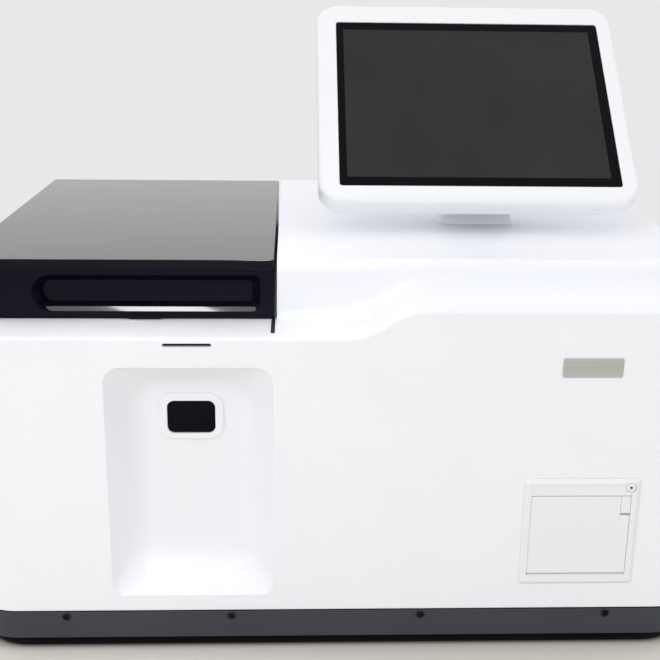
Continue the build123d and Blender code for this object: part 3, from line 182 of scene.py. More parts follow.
def mix_colour(tree, factor, a, b):
    """A colour between a and b, each a link or a red, green and blue."""
    node = add(tree, "Mix", data_type="RGBA")
    plug(tree, node.inputs[0], factor)
    for socket, colour in ((node.inputs[6], a), (node.inputs[7], b)):
        plug(tree, socket, (*colour, 1) if isinstance(colour, tuple) else colour)
    return node.outputs[2]


def blank_material(name):
    """An empty material and its node tree."""
    material = bpy.data.materials.new(name)
    material.use_nodes = True
    material.node_tree.nodes.clear()
    return material, material.node_tree


def principled(tree, settings):
    """A Principled shader with these links and plain values."""
    shader = add(tree, "BsdfPrincipled")
    for key, value in settings.items():
        plug(tree, shader.inputs[key], value)
    return shader


def finish_off(material, tree, shader):
    """Joins a shader to the material's output."""
    plug(tree, add(tree, "OutputMaterial").inputs["Surface"], shader.outputs[0])
    return material


def pale_bench():
    """A matt pale coat with a painted shadow under the analyzer, which turns into plain backdrop far away."""
    material, tree = blank_material("bench_pale")
    place = add(tree, "TexCoord").outputs["Object"]
    far = spread(tree, vector_step(tree, "LENGTH", place), FADE_FROM, FADE_TO)
    # Painted shadow: near-black inside the analyzer's rounded outline, with a soft edge.
    past_corner = vector_step(tree, "SUBTRACT", vector_step(tree, "ABSOLUTE", place),
                              (UNDER_SHADE_X - UNDER_SHADE_CORNER, UNDER_SHADE_Y - UNDER_SHADE_CORNER, 1.0))
    past_corner = vector_step(tree, "MAXIMUM", past_corner, (0.0, 0.0, 0.0))
    under_shade = spread(tree, vector_step(tree, "LENGTH", past_corner), UNDER_SHADE_CORNER - UNDER_SHADE_SOFT, UNDER_SHADE_CORNER, 1.0, 0.0)
    cloud = add(tree, "TexNoise")
    cloud.inputs["Scale"].default_value = CLOUD_SCALE
    pale = mix_colour(tree, cloud.outputs["Fac"], BENCH_DARK, BENCH_LIGHT)
    coat = principled(tree, {"Base Color": mix_colour(tree, under_shade, pale, UNDER_SHADE_BLACK), "Roughness": 0.7,
                             "Specular IOR Level": 0.2})
    glow = white_light(tree, "Emission", ROOM_SEEN)
    fade = calculate(tree, "MULTIPLY", far, seen_directly(tree))
    return finish_off(material, tree, blend_shaders(tree, fade, coat, glow))


bench_mesh = bpy.data.meshes.new("bench_top")
turns = [2 * pi * i / BENCH_STEPS for i in range(BENCH_STEPS)]
rim = [(BENCH_RADIUS * cos(turn), BENCH_RADIUS * sin(turn), 0.0) for turn in turns]
bench_mesh.from_pydata(rim, [], [list(range(BENCH_STEPS))])
bench_mesh.materials.append(pale_bench())
bench = bpy.data.objects.new("bench_top", bench_mesh)
scene.collection.objects.link(bench)


# Main cover
# One large injection moulding in white ABS, textured by the spark-eroded mould and a
# little satin, clipped on the tray and screwed from below. It is clean and nearly new.
DUST_GREY = (0.55, 0.53, 0.50)


def effect(name, inputs, outputs):
    """An empty node group with named inputs and outputs."""
    group = bpy.data.node_groups.new(name, "ShaderNodeTree")
    for key, (kind, value) in inputs.items():
        socket = group.interface.new_socket(key, in_out="INPUT", socket_type="NodeSocket" + kind)
        socket.default_value = value
    for key, kind in outputs.items():
        group.interface.new_socket(key, in_out="OUTPUT", socket_type="NodeSocket" + kind)
    return group, group.nodes.new("NodeGroupInput").outputs, group.nodes.new("NodeGroupOutput").inputs


def noise(tree, vector, scale, detail=2.0, roughness=0.5):
    node = add(tree, "TexNoise")
    plug(tree, node.inputs["Vector"], vector)
    plug(tree, node.inputs["Scale"], scale)
    node.inputs["Detail"].default_value = detail
    node.inputs["Roughness"].default_value = roughness
    return node.outputs["Fac"]


def build_moulded_skin():
    """Fine bumps left by the mould, and wide faint patches where the plastic flowed."""
    group, given, made = effect("moulded_skin",
                                {"Grain": ("Float", 0.0006), "Patch": ("Float", 0.06)},
                                {"Height": "Float", "Flow": "Float"})
    place = add(group, "TexCoord").outputs["Object"]
    grain = noise(group, place, calculate(group, "DIVIDE", 1.0, given["Grain"]), 2.0, 0.6)
    flow = noise(group, place, calculate(group, "DIVIDE", 1.0, given["Patch"]), 3.0)
    plug(group, made["Height"], grain)
    plug(group, made["Flow"], spread(group, flow, 0.3, 0.7))
    return group


def build_eased_edge():
    """The normal with each sharp edge eased to a small radius, and a mask of those edges."""
    group, given, made = effect("eased_edge", {"Radius": ("Float", 0.0006)},
                                {"Normal": "Vector", "Edge": "Float"})
    eased = add(group, "Bevel", samples=4)
    plug(group, eased.inputs["Radius"], given["Radius"])
    match = vector_step(group, "DOT_PRODUCT", eased.outputs[0], add(group, "NewGeometry").outputs["Normal"])
    plug(group, made["Normal"], eased.outputs[0])
    plug(group, made["Edge"], spread(group, match, 0.995, 0.85))
    return group


def build_settled_dust():
    """Thin uneven dust on what faces up."""
    group, given, made = effect("settled_dust", {"Amount": ("Float", 0.2), "Cloud": ("Float", 0.03)},
                                {"Dust": "Float"})
    coordinates = add(group, "TexCoord")
    split = add(group, "SeparateXYZ")
    plug(group, split.inputs[0], coordinates.outputs["Normal"])
    up = spread(group, split.outputs["Z"], 0.5, 1.0)
    place = coordinates.outputs["Object"]
    clouds = noise(group, place, calculate(group, "DIVIDE", 1.0, given["Cloud"]), 4.0, 0.7)
    specks = spread(group, noise(group, place, 900.0, 1.0), 0.62, 0.72)
    both = calculate(group, "MAXIMUM", spread(group, clouds, 0.45, 0.8, 0.0, 0.5), specks)
    lying = calculate(group, "MULTIPLY", both, up)
    plug(group, made["Dust"], calculate(group, "MULTIPLY", lying, given["Amount"]))
    return group


MOULDED_SKIN = build_moulded_skin()
EASED_EDGE = build_eased_edge()
SETTLED_DUST = build_settled_dust()


def use(tree, group, **values):
    """Places an effect in a material with its own values."""
    node = tree.nodes.new("ShaderNodeGroup")
    node.node_tree = group
    for key, value in values.items():
        plug(tree, node.inputs[key], value)
    return node.outputs


def bumped(tree, height, distance, strength=1.0, normal=None):
    node = add(tree, "Bump")
    node.inputs["Strength"].default_value = strength
    node.inputs["Distance"].default_value = distance
    plug(tree, node.inputs["Height"], height)
    if normal is not None:
        plug(tree, node.inputs["Normal"], normal)
    return node.outputs[0]


def moulded(name, colour, flow_colour, gloss=(0.42, 0.5), grain=0.0006, depth=0.00002, edge=0.0006,
            edge_highlight=None, dust=0.0, specular=0.5):
    """An injection-moulded plastic: two near colours, a grain, eased edges with a painted highlight if given,
    and a little dust.
    """
    material, tree = blank_material(name)
    skin = use(tree, MOULDED_SKIN, Grain=grain)
    eased = use(tree, EASED_EDGE, Radius=edge)
    tint = mix_colour(tree, skin["Flow"], colour, flow_colour)
    # Painted highlight: sharp edges are tinted toward a lighter edge colour.
    if edge_highlight:
        tint = mix_colour(tree, calculate(tree, "MULTIPLY", eased["Edge"], 0.6), tint, edge_highlight)
    rough = spread(tree, skin["Flow"], 0.0, 1.0, *gloss)
    if dust:
        settled = use(tree, SETTLED_DUST, Amount=dust)["Dust"]
        tint = mix_colour(tree, settled, tint, DUST_GREY)
        rough = calculate(tree, "ADD", rough, calculate(tree, "MULTIPLY", settled, 0.4))
    return finish_off(material, tree, principled(tree, {
        "Base Color": tint, "Roughness": rough, "Specular IOR Level": specular,
        "Normal": bumped(tree, skin["Height"], depth, 0.6, eased["Normal"])}))


def dress(material, *nodes):
    """Gives these nodes their finish."""
    for name in nodes:
        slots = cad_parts[name].data.materials
        slots.clear()
        slots.append(material)


dress(moulded("shell_white", (0.900, 0.912, 0.968), (0.913, 0.924, 0.975), (0.38, 0.46), dust=0.03),
      "main_cover")


# Base tray and feet
# The tray is a charcoal ABS moulding with a slightly coarser grain than the cover. Its
# screws are blackened steel and the feet are turned from soft black rubber.
dress(moulded("base_charcoal", (0.026, 0.031, 0.046), (0.034, 0.039, 0.056), (0.42, 0.55), grain=0.0008,
              depth=0.00003, edge=0.0009, edge_highlight=(0.09, 0.095, 0.105)), "base_tray")
dress(moulded("foot_rubber", (0.018, 0.018, 0.019), (0.026, 0.026, 0.027), (0.7, 0.85), grain=0.0012,
              depth=0.00005, specular=0.3, edge_highlight=(0.05, 0.05, 0.05)), "feet")


def build_brushed_lines():
    """Fine straight lines along one direction, as a height, with slower light and dark streaks."""
    group, given, made = effect("brushed_lines", {"Stretch": ("Vector", (40.0, 4000.0, 4000.0))},
                                {"Height": "Float", "Streak": "Float"})
    fine = add(group, "Mapping")
    plug(group, fine.inputs["Vector"], add(group, "TexCoord").outputs["Object"])
    plug(group, fine.inputs["Scale"], given["Stretch"])
    slow = vector_step(group, "MULTIPLY", fine.outputs[0], (0.12, 0.12, 0.12))
    plug(group, made["Height"], noise(group, fine.outputs[0], 1.0, 3.0, 0.6))
    plug(group, made["Streak"], spread(group, noise(group, slow, 1.0), 0.3, 0.7))
    return group


BRUSHED_LINES = build_brushed_lines()


def metal(name, dark, light, gloss, stretch=(40.0, 2500.0, 2500.0), depth=0.000008, edge=0.0004,
          metallic=1.0):
    """A metal with drawn or brushed lines, streaked between two tones."""
    material, tree = blank_material(name)
    lines = use(tree, BRUSHED_LINES, Stretch=stretch)
    eased = use(tree, EASED_EDGE, Radius=edge)
    return finish_off(material, tree, principled(tree, {
        "Base Color": mix_colour(tree, lines["Streak"], dark, light), "Metallic": metallic,
        "Roughness": spread(tree, lines["Streak"], 0.0, 1.0, *gloss),
        "Normal": bumped(tree, lines["Height"], depth, 0.5, eased["Normal"])}))


dress(metal("black_steel", (0.02, 0.02, 0.022), (0.035, 0.035, 0.038), (0.35, 0.5)), "base_screws")


# Screw recess shade
# A near-black ring stands round each screw in the tray's front edge, a little proud of it, as
# painted shade for the screw's recess, so that the screws read as dark dots under the cover.
MM = 0.001
SHADE_RINGS_X, SHADE_RINGS_Z = (-228.3, -90.1, 69.8, 228.3), 31.6
SHADE_RING_IN, SHADE_RING_OUT, SHADE_RING_BEVEL = 2.95, 4.4, 0.3
SHADE_RING_FRONT, SHADE_RING_BACK, SHADE_RING_STEPS = -230.15, -229.0, 28
SHADE_RING_OUTLINE = ((SHADE_RING_OUT, SHADE_RING_BACK), (SHADE_RING_OUT, SHADE_RING_FRONT + SHADE_RING_BEVEL),
                (SHADE_RING_OUT - SHADE_RING_BEVEL, SHADE_RING_FRONT), (SHADE_RING_IN, SHADE_RING_FRONT), (SHADE_RING_IN, SHADE_RING_BACK))


def at(x, y, z):
    """A point given in millimetres."""
    return Vector((x, y, z)) * MM


def solid_piece(name, points, faces, material, body):
    mesh = bpy.data.meshes.new(name)
    mesh.from_pydata(points, [], faces)
    mesh.materials.append(material)
    piece = bpy.data.objects.new(name, mesh)
    scene.collection.objects.link(piece)
    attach(piece, body)


def turned_piece(name, outline, places, material, body, steps=20, to_front=False, ring=False):
    """Turned pieces of one outline of (radius, height), as one mesh. Their places are (x, y).
    Those turned to the front have their height along Y and places (x, z), and the outline
    then runs forwards. A ring's outline closes on itself, and the others get flat ends."""
    points, faces = [], []
    rows = len(outline)
    for x, other in places:
        first = len(points)
        for radius, height in outline:
            for i in range(steps):
                turn = 2 * pi * i / steps
                wide, deep = x + radius * cos(turn), other + radius * sin(turn)
                points.append(at(wide, height, deep) if to_front else at(wide, deep, height))
        for k in range(rows if ring else rows - 1):
            row, next_row = first + k * steps, first + (k + 1) % rows * steps
            for i in range(steps):
                j = (i + 1) % steps
                faces.append((row + i, row + j, next_row + j, next_row + i))
        if not ring:
            faces.append([first + i for i in reversed(range(steps))])
            faces.append([first + (rows - 1) * steps + i for i in range(steps)])
    solid_piece(name, points, faces, material, body)


# Painted shade: near-black rings stand for the dark recesses round the screws.
turned_piece("screw_recess_shade", SHADE_RING_OUTLINE, [(x, SHADE_RINGS_Z) for x in SHADE_RINGS_X],
             moulded("recess_shade_black", (0.006, 0.006, 0.008), (0.010, 0.010, 0.012), (0.45, 0.6)),
             "housing", SHADE_RING_STEPS, to_front=True, ring=True)


# Scanning bay
# The window is a dark acrylic filter in a white gloss ring that is pressed through the
# back of the bay. The reader's black case stands behind it.
dress(moulded("ring_white", (0.895, 0.912, 0.955), (0.908, 0.922, 0.962), (0.2, 0.26), grain=0.002,
              depth=0.000005), "window_ring")


def dark_filter():
    """Smoked acrylic: nearly black, polished, with faint wiping marks in its gloss."""
    material, tree = blank_material("dark_filter")
    skin = use(tree, MOULDED_SKIN, Grain=0.004, Patch=0.02)
    return finish_off(material, tree, principled(tree, {
        "Base Color": mix_colour(tree, skin["Flow"], (0.002, 0.0025, 0.006), (0.004, 0.005, 0.010)),
        "Roughness": spread(tree, skin["Height"], 0.0, 1.0, 0.04, 0.10), "Specular IOR Level": 0.06}))


dress(dark_filter(), "scan_window")
BLACK_PLASTIC = moulded("black_plastic", (0.014, 0.014, 0.016), (0.022, 0.022, 0.025), (0.4, 0.55),
                        edge_highlight=(0.05, 0.05, 0.055), dust=0.06)
dress(BLACK_PLASTIC, "scanner_module", "card_reader")


# Nameplate
# A bare anodised aluminium plate, brushed lengthways and glued to the front of the
# raised housing. It has no print.
dress(metal("plate_metal", (0.46, 0.457, 0.44), (0.54, 0.537, 0.515), (0.42, 0.55),
            stretch=(60.0, 3000.0, 3000.0), depth=0.000006, edge=0.0003, metallic=0.55), "nameplate")


# Deck lid
# A hollow frame in black gloss ABS with a finger recess in its front, closed by a thick
# plate of polished black acrylic that is bonded on top. Both show faint wiping marks.
LINT_GREY = (0.6, 0.6, 0.59)


def build_polished_top():
    """A mask of the faces that look straight up."""
    group, given, made = effect("polished_top", {"Amount": ("Float", 1.0)}, {"Mask": "Float"})
    split = add(group, "SeparateXYZ")
    plug(group, split.inputs[0], add(group, "TexCoord").outputs["Normal"])
    flat = spread(group, split.outputs["Z"], 0.9, 0.98)
    plug(group, made["Mask"], calculate(group, "MULTIPLY", flat, given["Amount"]))
    return group


POLISHED_TOP = build_polished_top()


def black_gloss(name, base, specular, gloss, dust, wave, top_polish=0.0):
    """Polished black: a mirror with slow waviness, fine wiping marks and a little dust."""
    material, tree = blank_material(name)
    skin = use(tree, MOULDED_SKIN, Grain=0.09, Patch=0.04)
    eased = use(tree, EASED_EDGE, Radius=0.0007)
    wiping = use(tree, BRUSHED_LINES, Stretch=(25.0, 180.0, 180.0))
    settled = use(tree, SETTLED_DUST, Amount=dust, Cloud=0.05)["Dust"]
    tint = mix_colour(tree, skin["Flow"], base, tuple(1.35 * c for c in base))
    rough = spread(tree, wiping["Streak"], 0.0, 1.0, *gloss)
    shader = principled(tree, {
        "Base Color": mix_colour(tree, settled, tint, LINT_GREY), "Specular IOR Level": specular,
        "Roughness": calculate(tree, "ADD", rough, calculate(tree, "MULTIPLY", settled, 0.3)),
        "Normal": bumped(tree, skin["Height"], wave, 1.0, eased["Normal"])})
    if top_polish:
        plug(tree, shader.inputs["Coat Weight"], use(tree, POLISHED_TOP, Amount=top_polish)["Mask"])
        shader.inputs["Coat IOR"].default_value = 1.25
        shader.inputs["Coat Roughness"].default_value = 0.04
    return finish_off(material, tree, shader)


dress(black_gloss("lid_gloss", (0.004, 0.0042, 0.008), specular=0.12, gloss=(0.05, 0.11), dust=0.04,
                  wave=0.0004, top_polish=0.9), "lid_top")
dress(black_gloss("lid_black", (0.003, 0.0032, 0.009), specular=0.10, gloss=(0.08, 0.14), dust=0.02,
                  wave=0.0002), "lid_frame")


# Sill of the lid's pull
# The recess's lower face stands steeper than its other bevels, where the fingers press,
# and is buffed bright, so it carries the lid's one sharp highlight.
SILL_LEFT, SILL_RIGHT = -251.0, -66.6
SILL_PROFILE = ((-176.55, 282.6), (-172.7, 286.6), (-170.4, 286.6), (-170.4, 283.0))
BAR_FACES = ((0, 1, 2, 3), (7, 6, 5, 4), (0, 4, 5, 1), (1, 5, 6, 2), (2, 6, 7, 3), (3, 7, 4, 0))


def bar_piece(name, left, right, profile, material, body):
    """A straight bar from left to right, with a profile of four corners (y, z)."""
    points = [at(x, y, z) for x in (left, right) for y, z in profile]
    solid_piece(name, points, BAR_FACES, material, body)


buffed = black_gloss("buffed_black", (0.004, 0.0042, 0.008), specular=0.5, gloss=(0.05, 0.08), dust=0.01,
                     wave=0.00005)
polish = buffed.node_tree.nodes["Principled BSDF"].inputs
polish["Coat Weight"].default_value = 1.0
polish["Coat IOR"].default_value = 1.75
bar_piece("pull_sill", SILL_LEFT, SILL_RIGHT, SILL_PROFILE, buffed, "lid")


# Groove strip
# A black strip fills the groove beside the lid, where its right wall ends on the ledge.
GROOVE_STRIP_LEFT, GROOVE_STRIP_RIGHT = -56.6, -53.4
GROOVE_STRIP_PROFILE = ((-215.2, 268.0), (-215.2, 277.0), (-168.0, 277.0), (-168.0, 268.0))
bar_piece("groove_strip", GROOVE_STRIP_LEFT, GROOVE_STRIP_RIGHT, GROOVE_STRIP_PROFILE,
          moulded("groove_black", (0.004, 0.004, 0.008), (0.007, 0.007, 0.011), (0.5, 0.65), grain=0.0008),
          "housing")


# Working deck
# The tub, the magazine and the racks are plain mouldings; the tubes, tips and strips are
# disposables. The heated block, beam and pulleys are machined aluminium.
dress(moulded("deck_plastic", (0.70, 0.71, 0.73), (0.74, 0.75, 0.765), (0.45, 0.55), edge=0.0008, dust=0.05),
      "deck_tub", "cartridge_magazine")
dress(BLACK_PLASTIC, "reader_module", "waste_bin", "probe_head")
dress(moulded("rack_blue", (0.020, 0.095, 0.30), (0.028, 0.12, 0.34), (0.38, 0.5),
              edge_highlight=(0.08, 0.2, 0.45)), "sample_rack", "tip_rack")
dress(moulded("cartridge_white", (0.80, 0.80, 0.775), (0.84, 0.84, 0.815), (0.4, 0.5), edge=0.0005,
              edge_highlight=(0.9, 0.9, 0.88)), "test_cartridges")
dress(moulded("tip_milky", (0.72, 0.74, 0.73), (0.78, 0.80, 0.79), (0.29, 0.36), grain=0.002), "pipette_tips")
dress(moulded("foam_seal", (0.02, 0.02, 0.022), (0.03, 0.03, 0.032), (0.85, 0.95), grain=0.0012,
              depth=0.0002, specular=0.2), "deck_gasket")
dress(moulded("belt_rubber", (0.012, 0.012, 0.012), (0.02, 0.02, 0.02), (0.6, 0.75), grain=0.001,
              depth=0.00006), "drive_belt")
ALUMINIUM = metal("anodised_aluminium", (0.58, 0.59, 0.60), (0.68, 0.69, 0.70), (0.32, 0.45))
STEEL = metal("ground_steel", (0.46, 0.47, 0.48), (0.58, 0.59, 0.60), (0.28, 0.36))
BLACK_METAL = metal("black_coated", (0.018, 0.018, 0.02), (0.03, 0.03, 0.033), (0.4, 0.55), metallic=0.3)
dress(ALUMINIUM, "incubator_base", "bridge_beam", "bridge_blocks", "idler_pulley", "motor_pulley",
      "power_supply")
dress(STEEL, "turntable_shaft", "bridge_rails", "sample_probe", "lid_hinge_brackets", "lid_hinge_leaves",
      "lid_hinge_pins", "rear_screws")
dress(BLACK_METAL, "turntable", "turntable_motor", "drive_motor")


def clear_tube():
    """Thin clear polystyrene with faint flow lines."""
    material, tree = blank_material("tube_clear")
    skin = use(tree, MOULDED_SKIN, Grain=0.004, Patch=0.01)
    return finish_off(material, tree, principled(tree, {
        "Base Color": mix_colour(tree, skin["Flow"], (0.90, 0.94, 0.95), (0.95, 0.97, 0.97)),
        "Roughness": spread(tree, skin["Height"], 0.0, 1.0, 0.03, 0.08),
        "Transmission Weight": 0.92, "IOR": 1.2}))


dress(clear_tube(), "sample_tubes")


# Panel printer
# Bezel, door and lever are off-white ABS, a shade warmer than the cover. The roll is
# thermal paper on the bezel's bosses and the platen is ground black rubber.
PAPER_TURN, PAPER_FIBRE = 0.0005, 0.0004
dress(moulded("printer_plastic", (0.865, 0.875, 0.905), (0.88, 0.89, 0.92), (0.42, 0.5), edge=0.0005,
              grain=0.0005), "printer_frame", "printer_door", "printer_lever")
dress(BLACK_PLASTIC, "printer_mechanism")
dress(moulded("platen_rubber", (0.02, 0.02, 0.02), (0.03, 0.03, 0.03), (0.6, 0.7), grain=0.0008),
      "platen_roller")
dress(moulded("button_white", (0.84, 0.85, 0.87), (0.86, 0.865, 0.88), (0.3, 0.38), grain=0.002),
      "feed_button")


def wound_paper():
    """Thermal paper: smooth and bright outside, with the edges of its turns on the ends, and painted shade in
    the gaps between the turns.
    """
    material, tree = blank_material("paper_roll")
    low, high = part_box("paper_roll")
    place = vector_step(tree, "SUBTRACT", add(tree, "TexCoord").outputs["Object"], (low + high) / 2)
    radius = vector_step(tree, "LENGTH", vector_step(tree, "MULTIPLY", place, (0.0, 1.0, 1.0)))
    turns = calculate(tree, "SINE", calculate(tree, "MULTIPLY", radius, 2 * pi / PAPER_TURN))
    fibre = use(tree, MOULDED_SKIN, Grain=PAPER_FIBRE, Patch=0.01)
    tint = mix_colour(tree, fibre["Flow"], (0.82, 0.82, 0.80), (0.86, 0.86, 0.84))
    # Painted shade: the gaps between the turns are tinted darker.
    turn_shade = spread(tree, turns, 0.2, 1.0, 0.0, 0.35)
    return finish_off(material, tree, principled(tree, {
        "Base Color": mix_colour(tree, turn_shade, tint, (0.60, 0.60, 0.58)),
        "Roughness": spread(tree, fibre["Height"], 0.0, 1.0, 0.55, 0.7),
        "Normal": bumped(tree, turns, 0.00003)}))


dress(wound_paper(), "paper_roll")


# Touch screen
# Two white gloss shells hold a flat touch glass with a black printed border. The panel
# behind it is switched off and shows as an even dark grey.
glass_low, glass_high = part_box("screen_glass")
GLASS_MIDDLE = (glass_low + glass_high) / 2
GLASS_RIGHT, GLASS_UP = Vector((1.0, 0.0, 0.0)), Vector((0.0, 1.0, 1.0)).normalized()
PICTURE_LEFT, PICTURE_RIGHT = -121.8 * MM, 119.5 * MM
PICTURE_LOW, PICTURE_HIGH = -87.8 * MM, 88.5 * MM
PICTURE_SOFT = 0.2 * MM


def between(tree, value, low, high, soft):
    """1 between two values, with soft edges."""
    rise = spread(tree, value, low - soft, low + soft)
    fall = spread(tree, value, high - soft, high + soft, 1.0, 0.0)
    return calculate(tree, "MULTIPLY", rise, fall)


def touch_glass():
    """Polished glass over a black border and a dark grey picture area with a fine dot mesh."""
    material, tree = blank_material("touch_glass")
    place = vector_step(tree, "SUBTRACT", add(tree, "TexCoord").outputs["Object"], GLASS_MIDDLE)
    wide = vector_step(tree, "DOT_PRODUCT", place, GLASS_RIGHT)
    high = vector_step(tree, "DOT_PRODUCT", place, GLASS_UP)
    picture = calculate(tree, "MULTIPLY", between(tree, wide, PICTURE_LEFT, PICTURE_RIGHT, PICTURE_SOFT),
                        between(tree, high, PICTURE_LOW, PICTURE_HIGH, PICTURE_SOFT))
    skin = use(tree, MOULDED_SKIN, Grain=0.0011, Patch=0.09)
    grey = mix_colour(tree, skin["Flow"], (0.029, 0.030, 0.030), (0.036, 0.037, 0.037))
    mesh = spread(tree, skin["Height"], 0.35, 0.65, 0.0, 0.25)
    grey = mix_colour(tree, mesh, grey, (0.024, 0.025, 0.025))
    return finish_off(material, tree, principled(tree, {
        "Base Color": mix_colour(tree, picture, (0.003, 0.0032, 0.0045), grey),
        "Roughness": spread(tree, skin["Flow"], 0.0, 1.0, 0.05, 0.09), "Specular IOR Level": 0.07}))


dress(touch_glass(), "screen_glass")
dress(moulded("screen_white", (0.885, 0.90, 0.93), (0.895, 0.907, 0.934), (0.28, 0.31), grain=0.003,
              depth=0.00001), "screen_bezel", "screen_back")
dress(moulded("panel_back", (0.05, 0.05, 0.052), (0.07, 0.07, 0.072), (0.3, 0.45)), "display_panel")
dress(BLACK_METAL, "screen_bracket")
dress(moulded("neck_grey", (0.88, 0.91, 0.94), (0.89, 0.92, 0.95), (0.34, 0.42), edge=0.001), "screen_neck")


# Back panel
# Powder-coated steel sheet with the fan, the mains inlet and the data sockets. The guard
# is bright steel wire, spot-welded and held by the fan's four screws.
dress(moulded("powder_grey", (0.60, 0.61, 0.62), (0.63, 0.64, 0.65), (0.5, 0.6), grain=0.0009, depth=0.00006,
              edge=0.0003, dust=0.05), "rear_panel")
dress(BLACK_PLASTIC, "fan_frame", "fan_rotor", "power_inlet", "power_switch", "rear_ports")
dress(metal("guard_wire", (0.55, 0.56, 0.57), (0.66, 0.67, 0.68), (0.18, 0.26),
            stretch=(900.0, 900.0, 900.0)), "fan_guard")


# Rocker marks
# The off and on marks are printed in white on the two faces of the switch's rocker, which
# slope to either side of its middle. The ink is a thin matt film.
PRINT_WHITE = moulded("print_white", (0.76, 0.76, 0.75), (0.84, 0.84, 0.83), (0.5, 0.62), grain=0.0004)
PRINT_FILM, PRINT_LIFT = 0.02, 0.03
UPRIGHT = Vector((0.0, 0.0, 1.0))
ROCKER_X, ROCKER_Y, ROCKER_Z, ROCKER_TURN = 250.0, 223.4, 95.5, radians(8)
MARK_ASIDE, MARK_OUT, MARK_SLANT, MARK_HEIGHT = 8.0, 4.8, 0.173, 8.0


def printed(name, words, height, place, reading, upward, body):
    """A thin print of a few characters on a face, which reads in one direction."""
    letters = bpy.data.curves.new(name, "FONT")
    letters.body = words
    letters.size, letters.extrude = height * MM, PRINT_FILM * MM
    letters.align_x = letters.align_y = "CENTER"
    letters.materials.append(PRINT_WHITE)
    piece = bpy.data.objects.new(name, letters)
    outward = reading.cross(upward)
    axes = Matrix((reading, upward, outward)).transposed().to_4x4()
    piece.matrix_world = Matrix.Translation(place + outward * PRINT_LIFT * MM) @ axes
    scene.collection.objects.link(piece)
    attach(piece, body)


for name, words, side in (("mark_off", "O", -1), ("mark_on", "I", 1)):
    aside, face = side * MARK_ASIDE, ROCKER_TURN + side * MARK_SLANT
    mark = at(ROCKER_X + aside * cos(ROCKER_TURN) - MARK_OUT * sin(ROCKER_TURN),
              ROCKER_Y + aside * sin(ROCKER_TURN) + MARK_OUT * cos(ROCKER_TURN), ROCKER_Z)
    printed(name, words, MARK_HEIGHT, mark, Vector((-cos(face), -sin(face), 0.0)), UPRIGHT, "rocker")


# Contacts of the sockets
# Nickel-plated blades stand in the mains inlet, and thin folded shells line the data
# sockets. The network socket's springs and the serial pins are gold-plated.
INLET_X, INLET_Z, BLADES = 250, 73, ((-7.0, -2.5), (7.0, -2.5), (0.0, 2.8))
BLADE_HALF_WIDE, BLADE_HALF_HIGH, BLADES_Y = 1.1, 2.1, (210.6, 225.0)
DATA_X, DATA_Z, DATA_Y = (-21.0, -4.0), 80.0, (215.8, 227.6)
SHELL_WIDE, SHELL_HIGH, SHELL_WALL = 12.5, 5.1, 0.3
SPRINGS_X, SPRING_PITCH, SPRINGS_Y, SPRINGS_Z = (9.43, 9.78), 1.02, (224.0, 227.0), (76.2, 76.6)
SERIAL_X, PIN_PITCH, PIN_HALF, PINS_Y = 35, 2.77, 0.5, (224.7, 227.0)
PIN_ROWS = ((5, 81.4), (4, 78.6))
BOX_FACES = ((0, 2, 3, 1), (4, 5, 7, 6), (0, 1, 5, 4), (2, 6, 7, 3), (0, 4, 6, 2), (1, 3, 7, 5))


def boxes_piece(name, boxes, material, body):
    """One piece of several small upright boxes, each given by its ranges in millimetres."""
    points, faces = [], []
    for x_range, y_range, z_range in boxes:
        first = len(points)
        points += [at(x, y, z) for x in x_range for y in y_range for z in z_range]
        faces += [[first + i for i in face] for face in BOX_FACES]
    solid_piece(name, points, faces, material, body)


def around(x, z, half_wide, half_high, y_range):
    """The ranges of a box round a line from front to back."""
    return (x - half_wide, x + half_wide), y_range, (z - half_high, z + half_high)


def lining(x, z, width, height, y_range, wall):
    """The ranges of four thin walls round a rectangular opening."""
    left, right, low, high = x - width / 2, x + width / 2, z - height / 2, z + height / 2
    upright = (low + wall, high - wall)
    return [((left, right), y_range, (low, low + wall)), ((left, right), y_range, (high - wall, high)),
            ((left, left + wall), y_range, upright), ((right - wall, right), y_range, upright)]


NICKEL = metal("nickel_plate", (0.62, 0.61, 0.58), (0.74, 0.73, 0.70), (0.18, 0.26),
               stretch=(200.0, 3000.0, 3000.0))
GOLD = metal("gold_plate", (0.83, 0.60, 0.22), (0.90, 0.68, 0.30), (0.2, 0.26))
blades = [around(INLET_X + x, INLET_Z + z, BLADE_HALF_WIDE, BLADE_HALF_HIGH, BLADES_Y) for x, z in BLADES]
shells = [wall for x in DATA_X for wall in lining(x, DATA_Z, SHELL_WIDE, SHELL_HIGH, DATA_Y, SHELL_WALL)]
springs = [([x + i * SPRING_PITCH for x in SPRINGS_X], SPRINGS_Y, SPRINGS_Z) for i in range(8)]
pins = [around(SERIAL_X + (i - (count - 1) / 2) * PIN_PITCH, z, PIN_HALF, PIN_HALF, PINS_Y)
        for count, z in PIN_ROWS for i in range(count)]
for name, boxes, plating in (("inlet_blades", blades, NICKEL), ("data_shells", shells, NICKEL),
                             ("network_springs", springs, GOLD), ("serial_pins", pins, GOLD)):
    boxes_piece(name, boxes, plating, "housing")


